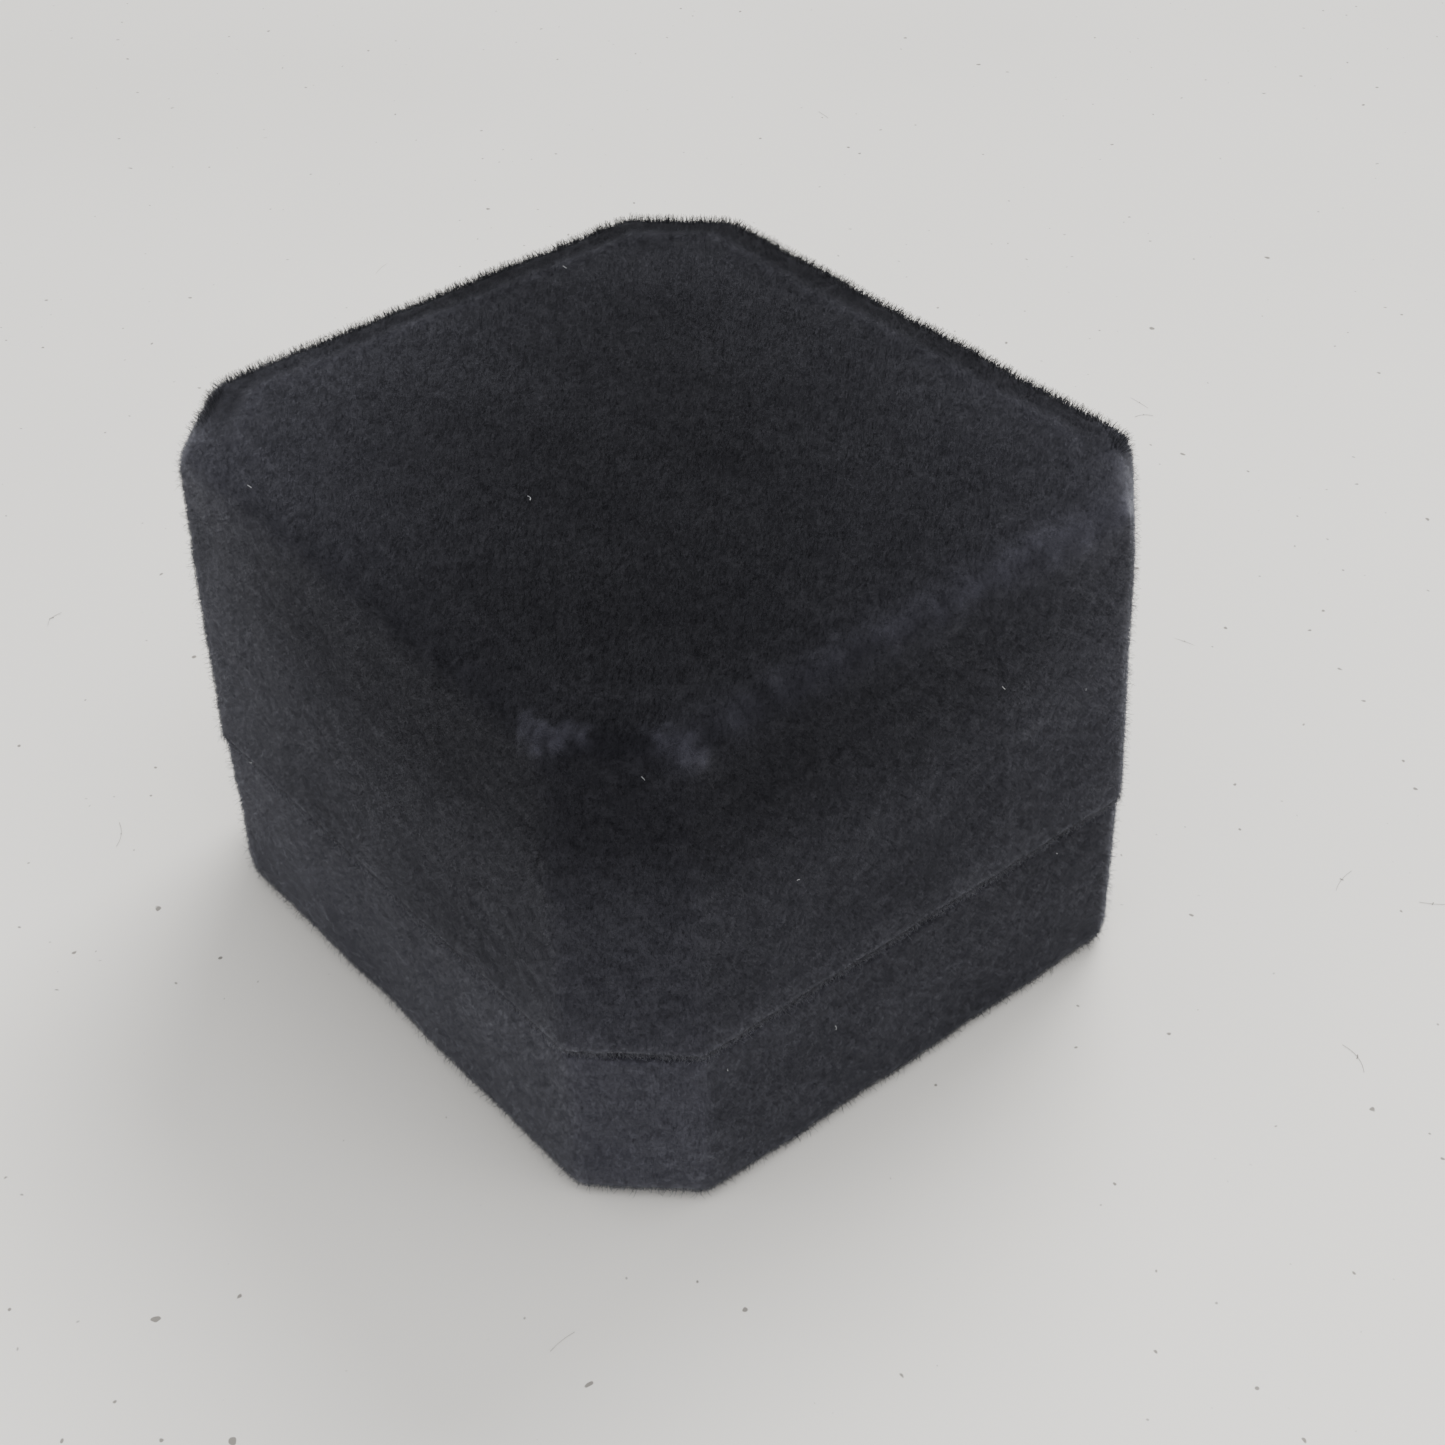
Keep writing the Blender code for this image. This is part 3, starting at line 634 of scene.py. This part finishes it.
# Mottling: strength and size.
NAP_CLUMPS = (0.05, 12 * MM)
NAP_GRAIN = (0.05, 1.1 * MM)
# Painted shade on the long fibres and on the far rim's bristles.
LONG_PAINTED_SHADE = 0.92
RIM_PAINTED_SHADE = 0.7


def painted_spread(points):
    """Painted light and shade that spreads from the dark spot."""
    offset = points - DARK_SPOT
    across = offset @ np.array(VIEW_RIGHT)
    above = offset @ np.array(VIEW_UP)
    away = np.hypot(across, above) + TINY
    right, up = across / away, above / away
    straight, cubed = LESS_UPWARDS
    spread = 1 - LESS_TO_RIGHT * right - straight * up - cubed * up**3
    return (away / PAINTED_REACH)**2 * spread


def nap_and_painted_light(points, normals):
    """Painted light and shade on the velvet, with random mottling. It is darkest round the front
    top corner,
    and lighter outwards: most to the left, least to the right and the back."""
    nx, ny, nz = normals.T
    cut = abs(nx * ny)
    front = np.clip(nx, 0, 1)**2
    left = np.clip(-ny, 0, 1)**2
    tone = PAINTED_DARKEST - CORNER_DARKER * cut + painted_spread(points)
    # Painted light and shade by the way each face is turned.
    stance = TOP_FACING_LIGHT * nz**2 + FRONT_FACING_LIGHT * nx**2 + SIDE_FACING_LIGHT * ny**2 + CORNER_FACING_LIGHT * cut
    band = bell(points[:, 2] - BAND_HEIGHT, BAND_WIDTH)
    # A lighter band half way up the lid's walls.
    brushed = 1 + (FRONT_BAND * front + LEFT_BAND * left) * band
    # Painted light and shade on the base's walls below the seam.
    foot = points[:, 2] < SEAM_HEIGHT
    to_right = np.clip((points[:, 1] - RIGHT_FOOT_FROM) / RIGHT_FOOT_OVER, 0, 1)
    brushed += foot * (LEFT_FOOT * left - RIGHT_FOOT * front * to_right + CORNER_FOOT * cut)
    mottled = 1 + NAP_CLUMPS[0] * smooth_noise(points, NAP_CLUMPS[1], SEED + 11)
    mottled += NAP_GRAIN[0] * smooth_noise(points, NAP_GRAIN[1], SEED + 15)
    light = painted_edge_shade(points) * painted_lip_light(points)
    return np.clip(tone, 0, PAINTED_BRIGHTEST) * stance * brushed * mottled * light


def long_painted_shade(points, normals):
    """Painted shade: the few longer fibres stand clear of the rest and are painted a little darker.
    """
    return LONG_PAINTED_SHADE * nap_and_painted_light(points, normals)


def rim_painted_shade(points, normals):
    """Painted shade: bristles on the far top edges are painted darker, as they look against the
    light.
    """
    return RIM_PAINTED_SHADE * nap_and_painted_light(points, normals)


LIP_KEPT_SHARP = 0.8         # in millimetres from the seam


def make_cover(node, name, wear_and_sheen):
    """A cover in real cloth thickness: remeshed, softened, and slightly uneven."""
    cover = remeshed(welded_copy(node, name), VELVET_VOXEL, COVER_PASSES)
    from_seam = abs(points_of(cover.data)[:, 2] - SEAM_HEIGHT)
    smoothed(cover, EDGE_SMOOTHING, np.clip(from_seam / MM - LIP_KEPT_SHARP, 0, 1))
    mesh = cover.data
    points = points_of(mesh)
    normals = normals_of(mesh)
    outside = is_outside(points, normals, np.array(CENTRE))
    sag = SAG[0] * smooth_noise(points, SAG[1], SEED)
    tufts = TUFTS[0] * smooth_noise(points, TUFTS[1], SEED + 1)
    move = np.where(outside, sag + tufts - SKIN_INSET, 0.0)
    move += np.where(outside, padded_top(points), 0.0)
    points += normals * move[:, None]
    points[:, 2] += closing_lips(points)
    set_points(mesh, points)
    # The pile's wear with its painted highlights, then its painted light and shade, for the
    # material to read.
    set_value(mesh, "matted_and_sheen", wear_and_sheen(points))
    set_value(mesh, "tone", nap_and_painted_light(points, normals))
    return cover


LIP_FACE = 0.5 * MM          # both lips' faces lie within this of the seam
LIP_BAND = 0.7 * MM          # and their extra pile within this
LIP_DEPTH = 0.85 * MM        # and this far inside the outline
STANDING_FACE = 0.4 * MM
RIM_OVERHANG = 0.9 * MM      # the rim's bristles start this far outside the top's outline
RIM_DEPTH = 1.7 * MM         # and end this far inside it


def outer_pile(points, normals):
    """Fibres grow on the outside of a cover and on its lips, but not on the face it stands on."""
    lips = abs(points[:, 2] - SEAM_HEIGHT) < LIP_FACE
    standing = points[:, 2] < STANDING_FACE
    return (is_outside(points, normals, np.array(CENTRE)) | lips) & ~standing


def lip_pile(points, normals):
    """Extra fibres on the outer edges of the two lips."""
    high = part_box("lid_velvet")[1]
    near = abs(points[:, 2] - SEAM_HEIGHT) < LIP_BAND
    x, y = abs(points[:, 0]), abs(points[:, 1])
    inset = np.minimum(np.minimum(high.x - x, high.y - y),
                       (high.x + high.y - CORNER_CUT - x - y) / math.sqrt(2))
    return near & (inset < LIP_DEPTH)


def far_rim(points, normals):
    """The far top edges, where the nap stands up into the outline."""
    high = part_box("lid_velvet")[1]
    inset = top_inset(points)
    upper = points[:, 2] > high.z - PANEL_DROP
    rounded = (inset > -RIM_OVERHANG) & (inset < RIM_DEPTH) & upper
    return rounded & (far_edge(points) > 0.5) & outer_pile(points, normals)


def hair(name, path, radii, material):
    """Hair curves from their points, one row for each; radii are the widths along one curve."""
    count, steps = path.shape[:2]
    curves = bpy.data.hair_curves.new(name)
    curves.add_curves([steps] * count)
    curves.attributes["position"].data.foreach_set("vector", path.astype(np.float32).ravel())
    widths = curves.attributes.get("radius") or curves.attributes.new("radius", "FLOAT", "POINT")
    widths.data.foreach_set("value", np.tile(radii, count).astype(np.float32))
    curves.materials.append(material)
    return curves


def grow_pile(cover, name, body, cut, chosen, wear_and_sheen, tone):
    """Upright fibres over chosen faces of a cover, as hair curves that ride with it."""
    length, radius, density, slant, brushed = cut
    mesh = cover.data
    mesh.calc_loop_triangles()
    corners = np.empty(len(mesh.loop_triangles) * 3, np.int32)
    mesh.loop_triangles.foreach_get("vertices", corners)
    corners = corners.reshape(-1, 3)
    points = points_of(mesh)
    normals = normals_of(mesh)
    a, b, c = (points[corners[:, i]] for i in range(3))
    area = np.linalg.norm(np.cross(b - a, c - a), axis=1) / 2
    facing = normals[corners].mean(1)
    area = np.where(chosen((a + b + c) / 3, facing), area, 0)
    rng = np.random.default_rng(SEED)
    count = int(area.sum() / MM**2 * density)
    picked = rng.choice(len(area), size=count, p=area / area.sum())
    u, v = rng.random(count), rng.random(count)
    over = u + v > 1
    u[over], v[over] = 1 - u[over], 1 - v[over]
    root = a[picked] + u[:, None] * (b - a)[picked] + v[:, None] * (c - a)[picked]
    up = facing[picked]
    up /= np.linalg.norm(up, axis=1)[:, None]
    crushed_and_sheen = wear_and_sheen(root)
    lean = np.array((*PILE_COMB, brushed)) + rng.normal(scale=PILE_SCATTER, size=(count, 3))
    lean -= (lean * up).sum(1)[:, None] * up
    lean *= (slant * (1 + CRUSHED_LEAN * crushed_and_sheen))[:, None]
    tall = length * rng.uniform(*PILE_LENGTHS, count) * (1 - CRUSHED_LENGTH * crushed_and_sheen)
    steps = np.linspace(0, 1, PILE_POINTS)
    path = (root[:, None, :]
            + up[:, None, :] * (tall[:, None] * steps)[:, :, None]
            + lean[:, None, :] * (tall[:, None] * steps**2)[:, :, None])
    curves = hair(name, path, radius * (1 - PILE_TAPER * steps), pile)
    shade = curves.attributes.new("tone", "FLOAT", "CURVE")
    # The fibres take the cover's painted light and shade, lighter where the pile is worn or carries
    # a painted highlight.
    lifted = tone(root, up) * (1 + WEAR_AND_SHEEN_LIFT * crushed_and_sheen)
    shade.data.foreach_set("value", lifted.astype(np.float32))
    stance = curves.attributes.new("facing", "FLOAT_VECTOR", "CURVE")
    stance.data.foreach_set("vector", up.astype(np.float32).ravel())
    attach(link(bpy.data.objects.new(name, curves)), body)


CURL = 0.5
CURL_FLATTENED = 0.15        # a thread's curl stays nearly level
LINT_HEIGHT = 0.42 * MM      # lint lies this high on the pile
LINT_LENGTHS = (0.15 * MM, 0.6 * MM)
LINT_RADIUS = 0.030 * MM
LITTER_REACH = 0.11          # dust lies on the floor this far out along X and Y
LITTER_CLEAR = 0.045         # and keeps this far from the box's middle
LITTER_LENGTHS = (0.2, 1.0)  # shares of the longest


def loose_fibres(name, roots, directions, lengths, radius, material):
    """Short curled threads that lie on a surface, as one curves object."""
    count = len(roots)
    rng = np.random.default_rng(SEED + 30)
    steps = np.linspace(-0.5, 0.5, LINT_POINTS)
    curl = np.cross(directions, rng.normal(size=(count, 3)))
    curl[:, 2] *= CURL_FLATTENED
    path = (roots[:, None, :]
            + directions[:, None, :] * (lengths[:, None] * steps)[:, :, None]
            + curl[:, None, :] * (CURL * lengths[:, None] * steps**2)[:, :, None])
    radii = np.full(LINT_POINTS, radius)
    return link(bpy.data.objects.new(name, hair(name, path, radii, material)))


def scatter_lint(cover, name, body, count):
    """A few pale specks of lint caught in the pile."""
    rng = np.random.default_rng(SEED + 34)
    points = points_of(cover.data)
    normals = normals_of(cover.data)
    chosen = rng.choice(np.flatnonzero(outer_pile(points, normals)), size=count)
    roots = points[chosen] + normals[chosen] * LINT_HEIGHT
    directions = np.cross(normals[chosen], rng.normal(size=(count, 3)))
    directions /= np.linalg.norm(directions, axis=1)[:, None]
    lengths = rng.uniform(*LINT_LENGTHS, count)
    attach(loose_fibres(name, roots, directions, lengths, LINT_RADIUS, lint), body)


def scatter_on_floor(name, count, longest, radius, material):
    """Stray fibres and dust on the paper."""
    rng = np.random.default_rng(SEED + len(name))
    roots = np.zeros((count, 3))
    roots[:, :2] = rng.uniform(-LITTER_REACH, LITTER_REACH, size=(count, 2))
    roots[:, 2] = cad_low.z + radius
    clear = np.hypot(roots[:, 0], roots[:, 1]) > LITTER_CLEAR
    roots = roots[clear]
    angles = rng.uniform(0, 2 * math.pi, len(roots))
    directions = np.stack([np.cos(angles), np.sin(angles), np.zeros(len(roots))], 1)
    lengths = longest * rng.uniform(*LITTER_LENGTHS, len(roots))
    loose_fibres(name, roots, directions, lengths, radius, material)


# ---- cloth --------------------------------------------------------------------------------


CLOTH = {"quality": 6, "mass": 0.25, "tension_stiffness": 12, "compression_stiffness": 12,
         "shear_stiffness": 5, "bending_stiffness": 0.4}


def puffed(piece, pinned, pressure):
    """Swells a closed cloth with air pressure; the points where pinned is True stay put."""
    piece.data.transform(Matrix.Scale(SIM_SCALE, 4))
    group = piece.vertex_groups.new(name="pinned")
    group.add([int(i) for i in np.flatnonzero(pinned)], 1.0, "ADD")
    cloth = piece.modifiers.new("cloth", "CLOTH")
    settings = cloth.settings
    for key, value in CLOTH.items():
        setattr(settings, key, value)
    settings.use_pressure = True
    settings.uniform_pressure_force = pressure
    settings.vertex_group_mass = "pinned"
    settings.effector_weights.gravity = 0
    cloth.collision_settings.use_collision = False
    cloth.point_cache.frame_start = 1
    cloth.point_cache.frame_end = SIM_FRAMES
    scene = bpy.context.scene
    scene.frame_start, scene.frame_end = 1, SIM_FRAMES
    for number in range(1, SIM_FRAMES + 1):
        scene.frame_set(number)
    apply_modifiers(piece)
    scene.frame_set(1)
    piece.vertex_groups.clear()
    piece.data.transform(Matrix.Scale(1 / SIM_SCALE, 4))
    return piece


def clamp_to(piece, low, high):
    points = points_of(piece.data)
    set_points(piece.data, np.clip(points, np.array(low), np.array(high)))


def subdivided(piece, levels=1):
    finer = piece.modifiers.new("finer", "SUBSURF")
    finer.levels = levels
    finer.render_levels = levels
    return apply_modifiers(piece)


def make_ring_pad(side, slot_direction):
    """One half of the ring pad: velvet swollen over its foam, closing on the slot."""
    node = "pad_velvet_" + side
    pad = cover_over("pad_foam_" + side, node + "_roll", PAD_CLOTH, BAG_VOXEL)
    low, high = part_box(node)
    pinned = points_of(pad.data)[:, 2] < low.z + PAD_TUCK
    puffed(pad, pinned, PAD_PRESSURE)
    reach_low = [low.x, low.y, low.z]
    reach_high = [high.x, high.y, high.z + PAD_RISE]
    if slot_direction > 0:
        reach_high[0] += PAD_SLOT_SWELL
    else:
        reach_low[0] -= PAD_SLOT_SWELL
    clamp_to(pad, reach_low, reach_high)
    subdivided(pad)
    points = points_of(pad.data)
    normals = normals_of(pad.data)
    uneven = 0.05 * MM * smooth_noise(points, 6 * MM, SEED + 5)
    set_points(pad.data, points + normals * (uneven - PILE_SETBACK)[:, None])
    set_value(pad.data, "matted_and_sheen", no_wear(points))
    set_value(pad.data, "tone", np.ones(len(points)))
    place(pad, "base", "pad_velvet", pad_velvet, node)
    grow_pile(pad, node + "_pile", "base", PAD_PILE, upper_pile, no_wear, plain_tone)


def plain_tone(points, normals):
    return np.full(len(points), PAD_SHADE)


def upper_pile(points, normals):
    """Fibres on a pad or the liner are worth growing only where they can be seen."""
    return points[:, 2] > PILE_FROM


def cover_over(foam, name, thickness, voxel):
    """A closed cloth bag that fits over a foam block: the block grown by the cloth's thickness."""
    bag = remeshed(welded_copy(foam, name), voxel, 2)
    points = points_of(bag.data)
    set_points(bag.data, points + normals_of(bag.data) * thickness)
    return bag


GATHER_WANDER = 0.35         # unevenness of the gathers round the cushion's edge
GATHER_PITCH = 2.6 * MM
GATHER_DEPTH = 0.13 * MM
GATHER_REACH = 2.6 * MM      # the gathers fade out over this distance from the edge


def make_lid_cushion():
    """The satin cushion in the lid: swollen over its foam and gathered round its edge."""
    node = "lid_satin_cover"
    cushion = cover_over("lid_pad_foam", "lid_satin_cushion", SATIN_CLOTH, BAG_VOXEL)
    low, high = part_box(node)
    pinned = points_of(cushion.data)[:, 2] > high.z - SATIN_TUCK
    puffed(cushion, pinned, SATIN_PRESSURE)
    clamp_to(cushion, (low.x, low.y, low.z - SATIN_SWELL), high)
    subdivided(cushion)
    points = points_of(cushion.data)
    normals = normals_of(cushion.data)
    middle = np.array((low + high) / 2)
    inset_x = (high.x - low.x) / 2 - abs(points[:, 0] - middle[0])
    inset_y = (high.y - low.y) / 2 - abs(points[:, 1] - middle[1])
    near_x = inset_x < inset_y
    inset = np.where(near_x, inset_x, inset_y)
    along = np.where(near_x, points[:, 1], points[:, 0])
    wander = GATHER_WANDER * smooth_noise(points, 7 * MM, SEED + 6)
    fold = np.sin(2 * math.pi * along / GATHER_PITCH + 5 * wander)
    depth = GATHER_DEPTH * np.exp(-inset / GATHER_REACH) * (1 + wander)
    lower = normals[:, 2] < 0.3
    soft = 0.05 * MM * smooth_noise(points, 9 * MM, SEED + 8)
    move = np.where(lower, fold * depth + soft, 0)
    set_points(cushion.data, points + normals * move[:, None])
    place(cushion, "lid", "satin", satin, node)


PUCKER_SIZE = 1.9 * MM
PUCKER_STRETCH = (1, 1, 0.12)  # the puckers run upright
PUCKER_DEPTHS = (0.035 * MM, 0.05 * MM)  # everywhere, and added at the strip's edges
PUCKER_REACH = 2.5 * MM


def make_lining_strip():
    """Satin stretched round the lid's inside wall, drawn into faint upright puckers."""
    node = "lid_lining_strip"
    strip = remeshed(welded_copy(node, "lid_satin_strip"), FINE_VOXEL, 3)
    low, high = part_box(node)
    points = points_of(strip.data)
    normals = normals_of(strip.data)
    inside = ~is_outside(points, normals, np.array(CENTRE))
    edge = np.minimum(points[:, 2] - low.z, high.z - points[:, 2])
    pucker = smooth_noise(points * PUCKER_STRETCH, PUCKER_SIZE, SEED + 9)
    soft = smooth_noise(points, 12 * MM, SEED + 10)
    overall, at_edge = PUCKER_DEPTHS
    depth = overall + at_edge * np.exp(-np.clip(edge, 0, None) / PUCKER_REACH)
    move = np.where(inside, pucker * depth + 0.03 * MM * soft, 0)
    set_points(strip.data, points + normals * move[:, None])
    place(strip, "lid", "satin", satin, node)


def make_liner():
    """The flocked frame that holds the ring pads, with a soft rolled rim."""
    node = "base_liner"
    liner = remeshed(welded_copy(node, "base_liner_flock"), FINE_VOXEL, 4)
    points = points_of(liner.data)
    normals = normals_of(liner.data)
    uneven = 0.03 * MM * smooth_noise(points, 4 * MM, SEED + 12)
    set_points(liner.data, points + normals * (uneven - 0.04 * MM)[:, None])
    set_value(liner.data, "matted_and_sheen", no_wear(points))
    set_value(liner.data, "tone", np.ones(len(points)))
    place(liner, "base", "liner", pad_velvet, node)
    grow_pile(liner, "base_liner_pile", "base", SHORT_FLOCK, upper_pile, no_wear, plain_tone)


def make_foam(node, body, slot, material):
    """A block of foam, its faces slightly uneven as cut foam is."""
    foam = remeshed(welded_copy(node, node + "_block"), BAG_VOXEL, 2)
    points = points_of(foam.data)
    cells = 0.05 * MM * smooth_noise(points, 2.2 * MM, SEED + 14)
    set_points(foam.data, points + normals_of(foam.data) * (cells - FOAM_SHRINK)[:, None])
    place(foam, body, slot, material, node)


# ---- hard parts ---------------------------------------------------------------------------


SHARP_ANGLE = math.radians(32)
PLATE_EDGE = 0.07 * MM       # widths of the metal parts' broken edges
PIN_EDGE = 0.10 * MM
RIVET_EDGE = 0.06 * MM
SPRING_EDGE = 0.05 * MM


def rounded_metal(node, name, width):
    """A CAD part's copy with its edges broken and its curves shaded smooth."""
    part = welded_copy(node, name)
    edge = part.modifiers.new("edge", "BEVEL")
    edge.width = width
    edge.segments = 2
    edge.limit_method = "ANGLE"
    edge.angle_limit = SHARP_ANGLE
    edge.use_clamp_overlap = True
    apply_modifiers(part)
    part.data.shade_smooth()
    weighted = part.modifiers.new("weighted", "WEIGHTED_NORMAL")
    weighted.keep_sharp = True
    return apply_modifiers(part)


def dress(node, material):
    """Gives a CAD node that stays in view its procedural finish."""
    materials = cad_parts[node].data.materials
    materials.clear()
    materials.append(material)


# ---- stage --------------------------------------------------------------------------------


FLOOR_HALF = 6               # in metres, so that low views see no edge
FLOOR_DROP = 0.02 * MM
# Painted light: the paper is painted paler towards the camera: where along the view, and by how
# much.
FLOOR_FAR, FLOOR_NEAR = -0.13, 0.09
FLOOR_FAR_PAINTED_GAIN, FLOOR_NEAR_PAINTED_GAIN = 0.95, 1.32
AMBIENT = (1.0, 0.99, 0.985, 1)
LIT_FROM = (("window", (-0.30, 0.62, 0.80), 0.60, 12.0, (1.0, 0.985, 0.96)),
            ("overhead", (0.25, 0.15, 0.95), 0.7, 3.0, (1.0, 0.985, 0.97)))


def make_floor():
    n = Nodes("pale_paper")
    fibre = n.noise(0.9 * MM, 5)
    cloud = n.noise(60 * MM, 2)
    speck = n.noise(1.1 * MM, 1, 0.4)
    paper = n.ramp(cloud, 0.3, 0.7, (0.703, 0.693, 0.662), (0.733, 0.723, 0.692))
    dust = n.ramp(speck, 0.205, 0.235, (0.30, 0.29, 0.28), (1, 1, 1))
    tint = n.new("ShaderNodeMix", data_type="RGBA", blend_type="MULTIPLY")
    n.put(tint.inputs[0], 1.0)
    n.put(tint.inputs[6], paper)
    n.put(tint.inputs[7], dust)
    # Painted light: the paper's colour grows paler towards the camera.
    towards = n.new("ShaderNodeVectorMath", {0: n.place, 1: VIEW_BACK},
                    operation="DOT_PRODUCT").outputs["Value"]
    painted_light_gain = n.remap(towards, FLOOR_FAR, FLOOR_NEAR, FLOOR_FAR_PAINTED_GAIN, FLOOR_NEAR_PAINTED_GAIN)
    lit = n.new("ShaderNodeVectorMath", {0: tint.outputs[2], "Scale": painted_light_gain},
                operation="SCALE").outputs[0]
    n.set(Base_Color=lit, Roughness=0.85, Specular_IOR_Level=0.15,
          Normal=n.bump(fibre, 0.05 * MM, 0.35))
    bm = bmesh.new()
    bmesh.ops.create_grid(bm, x_segments=8, y_segments=8, size=FLOOR_HALF)
    mesh = bpy.data.meshes.new("floor")
    bm.to_mesh(mesh)
    bm.free()
    mesh.materials.append(n.material)
    floor = link(bpy.data.objects.new("floor", mesh))
    floor.location.z = cad_low.z - FLOOR_DROP


def add_area_light(name, place_at, size, power, color):
    lamp = bpy.data.lights.new(name, "AREA")
    lamp.shape = "DISK"
    lamp.size = size
    lamp.energy = power
    lamp.color = color
    light = link(bpy.data.objects.new(name, lamp))
    light.location = place_at
    light.rotation_euler = (CENTRE - Vector(place_at)).to_track_quat("-Z", "Y").to_euler()


def make_light():
    world = bpy.context.scene.world or bpy.data.worlds.new("studio")
    bpy.context.scene.world = world
    world.use_nodes = True
    background = world.node_tree.nodes["Background"]
    background.inputs["Color"].default_value = AMBIENT
    background.inputs["Strength"].default_value = 1.0
    for lamp in LIT_FROM:
        add_area_light(*lamp)


def make_camera():
    lens = bpy.data.cameras.new("camera")
    lens.lens = CAMERA_LENS
    lens.sensor_width = SENSOR_WIDTH
    lens.clip_start = 0.005
    lens.clip_end = 20
    camera = link(bpy.data.objects.new("camera", lens))
    camera.location = CAMERA_AIM + VIEW_BACK * CAMERA_DISTANCE
    turn = (-VIEW_BACK).to_track_quat("-Z", "Y").to_matrix().to_4x4()
    camera.rotation_euler = (turn @ Matrix.Rotation(CAMERA_ROLL, 4, "Z")).to_euler()
    bpy.context.scene.camera = camera


# ---- the box ------------------------------------------------------------------------------

velvet = velvet_material("charcoal_velvet", (0.0105, 0.0106, 0.0138),
                         (0.0134, 0.0134, 0.0175), 0.13)
pad_velvet = velvet_material("black_velvet", (0.0050, 0.0050, 0.0058),
                             (0.0105, 0.0105, 0.0120), 0.12)
pile = pile_material("charcoal_pile", (0.0120, 0.0120, 0.0157), 0.13)
lint = card_material("pale_lint", (0.16, 0.17, 0.18), (0.34, 0.35, 0.36))
dark_dust = card_material("dark_dust", (0.16, 0.15, 0.14), (0.30, 0.29, 0.27))
pale_dust = card_material("pale_dust", (0.42, 0.41, 0.39), (0.55, 0.54, 0.52))
satin = satin_material("ivory_satin", (0.74, 0.70, 0.62), (0.84, 0.80, 0.73))
dark_foam = foam_material("dark_foam", (0.045, 0.045, 0.05), (0.11, 0.11, 0.12))
pale_foam = foam_material("pale_foam", (0.55, 0.53, 0.47), (0.80, 0.78, 0.71))
grey_card = card_material("grey_card", (0.33, 0.31, 0.27), (0.47, 0.44, 0.39))
flocked_paper = card_material("flocked_paper", (0.010, 0.010, 0.012), (0.020, 0.020, 0.023))
moulded = plastic_material("moulded_black", (0.014, 0.014, 0.015), (0.024, 0.024, 0.026))
hinge_steel = steel_material("nickel_plate", (0.40, 0.38, 0.34), (0.66, 0.64, 0.60),
                             0.08 * MM, 2.5 * MM, 0.08 * MM)
spring_steel = steel_material("blued_steel", (0.24, 0.25, 0.30), (0.46, 0.47, 0.52),
                              0.3 * MM, 0.06 * MM, 2.0 * MM)
rivet_steel = steel_material("plated_rivet", (0.46, 0.44, 0.38), (0.70, 0.68, 0.62),
                             0.2 * MM, 0.2 * MM, 0.2 * MM)

lid_cover = make_cover("lid_velvet", "lid_velvet_cover", lid_wear_and_sheen)
place(lid_cover, "lid", "outer_velvet", velvet, "lid_velvet")
grow_pile(lid_cover, "lid_pile", "lid", FINE_PILE, outer_pile, lid_wear_and_sheen, nap_and_painted_light)
grow_pile(lid_cover, "lid_lip_pile", "lid", LID_LIP_PILE, lip_pile, lid_wear_and_sheen, nap_and_painted_light)
grow_pile(lid_cover, "lid_long_pile", "lid", LONG_PILE, outer_pile, lid_wear_and_sheen, long_painted_shade)
grow_pile(lid_cover, "lid_rim_pile", "lid", RIM_PILE, far_rim, no_wear, rim_painted_shade)

base_cover = make_cover("base_velvet", "base_velvet_wrap", no_wear)
place(base_cover, "base", "outer_velvet", velvet, "base_velvet")
grow_pile(base_cover, "base_pile", "base", FINE_PILE, outer_pile, no_wear, nap_and_painted_light)
grow_pile(base_cover, "base_lip_pile", "base", BASE_LIP_PILE, lip_pile, no_wear, nap_and_painted_light)
grow_pile(base_cover, "base_long_pile", "base", LONG_PILE, outer_pile, no_wear, long_painted_shade)

scatter_lint(lid_cover, "lid_lint", "lid", 14)
scatter_lint(base_cover, "base_lint", "base", 8)

make_liner()
make_ring_pad("rear", 1)
make_ring_pad("front", -1)
make_foam("pad_foam_rear", "base", "pad_foam", dark_foam)
make_foam("pad_foam_front", "base", "pad_foam", dark_foam)

make_lining_strip()
make_lid_cushion()
make_foam("lid_pad_foam", "lid", "lid_foam", pale_foam)

dress("base_shell", moulded)
dress("lid_shell", moulded)
dress("pad_card", grey_card)
dress("lid_pad_card", grey_card)
dress("base_bottom_board", flocked_paper)

place(rounded_metal("hinge_leaf_base", "hinge_leaf_base_plate", PLATE_EDGE), "base",
      "hinge_steel", hinge_steel, "hinge_leaf_base")
place(rounded_metal("hinge_leaf_lid", "hinge_leaf_lid_plate", PLATE_EDGE), "lid",
      "hinge_steel", hinge_steel, "hinge_leaf_lid")
place(rounded_metal("hinge_pin", "hinge_pin_rod", PIN_EDGE), "base",
      "hinge_steel", hinge_steel, "hinge_pin")
for side in ("left", "right"):
    for body in ("base", "lid"):
        rivet = "rivet_" + body + "_" + side
        head = rounded_metal(rivet, rivet + "_head", RIVET_EDGE)
        place(head, body, "rivet_steel", rivet_steel, rivet)

spring = rounded_metal("hinge_snap_spring", "hinge_snap_strip", SPRING_EDGE)
spring.data.materials.clear()
spring.data.materials.append(spring_steel)
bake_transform(spring)
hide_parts("hinge_snap_spring")

make_floor()
scatter_on_floor("pale_fibres", 60, 3.2 * MM, 0.025 * MM, pale_dust)
scatter_on_floor("dark_specks", 40, 0.5 * MM, 0.045 * MM, dark_dust)
make_light()
make_camera()
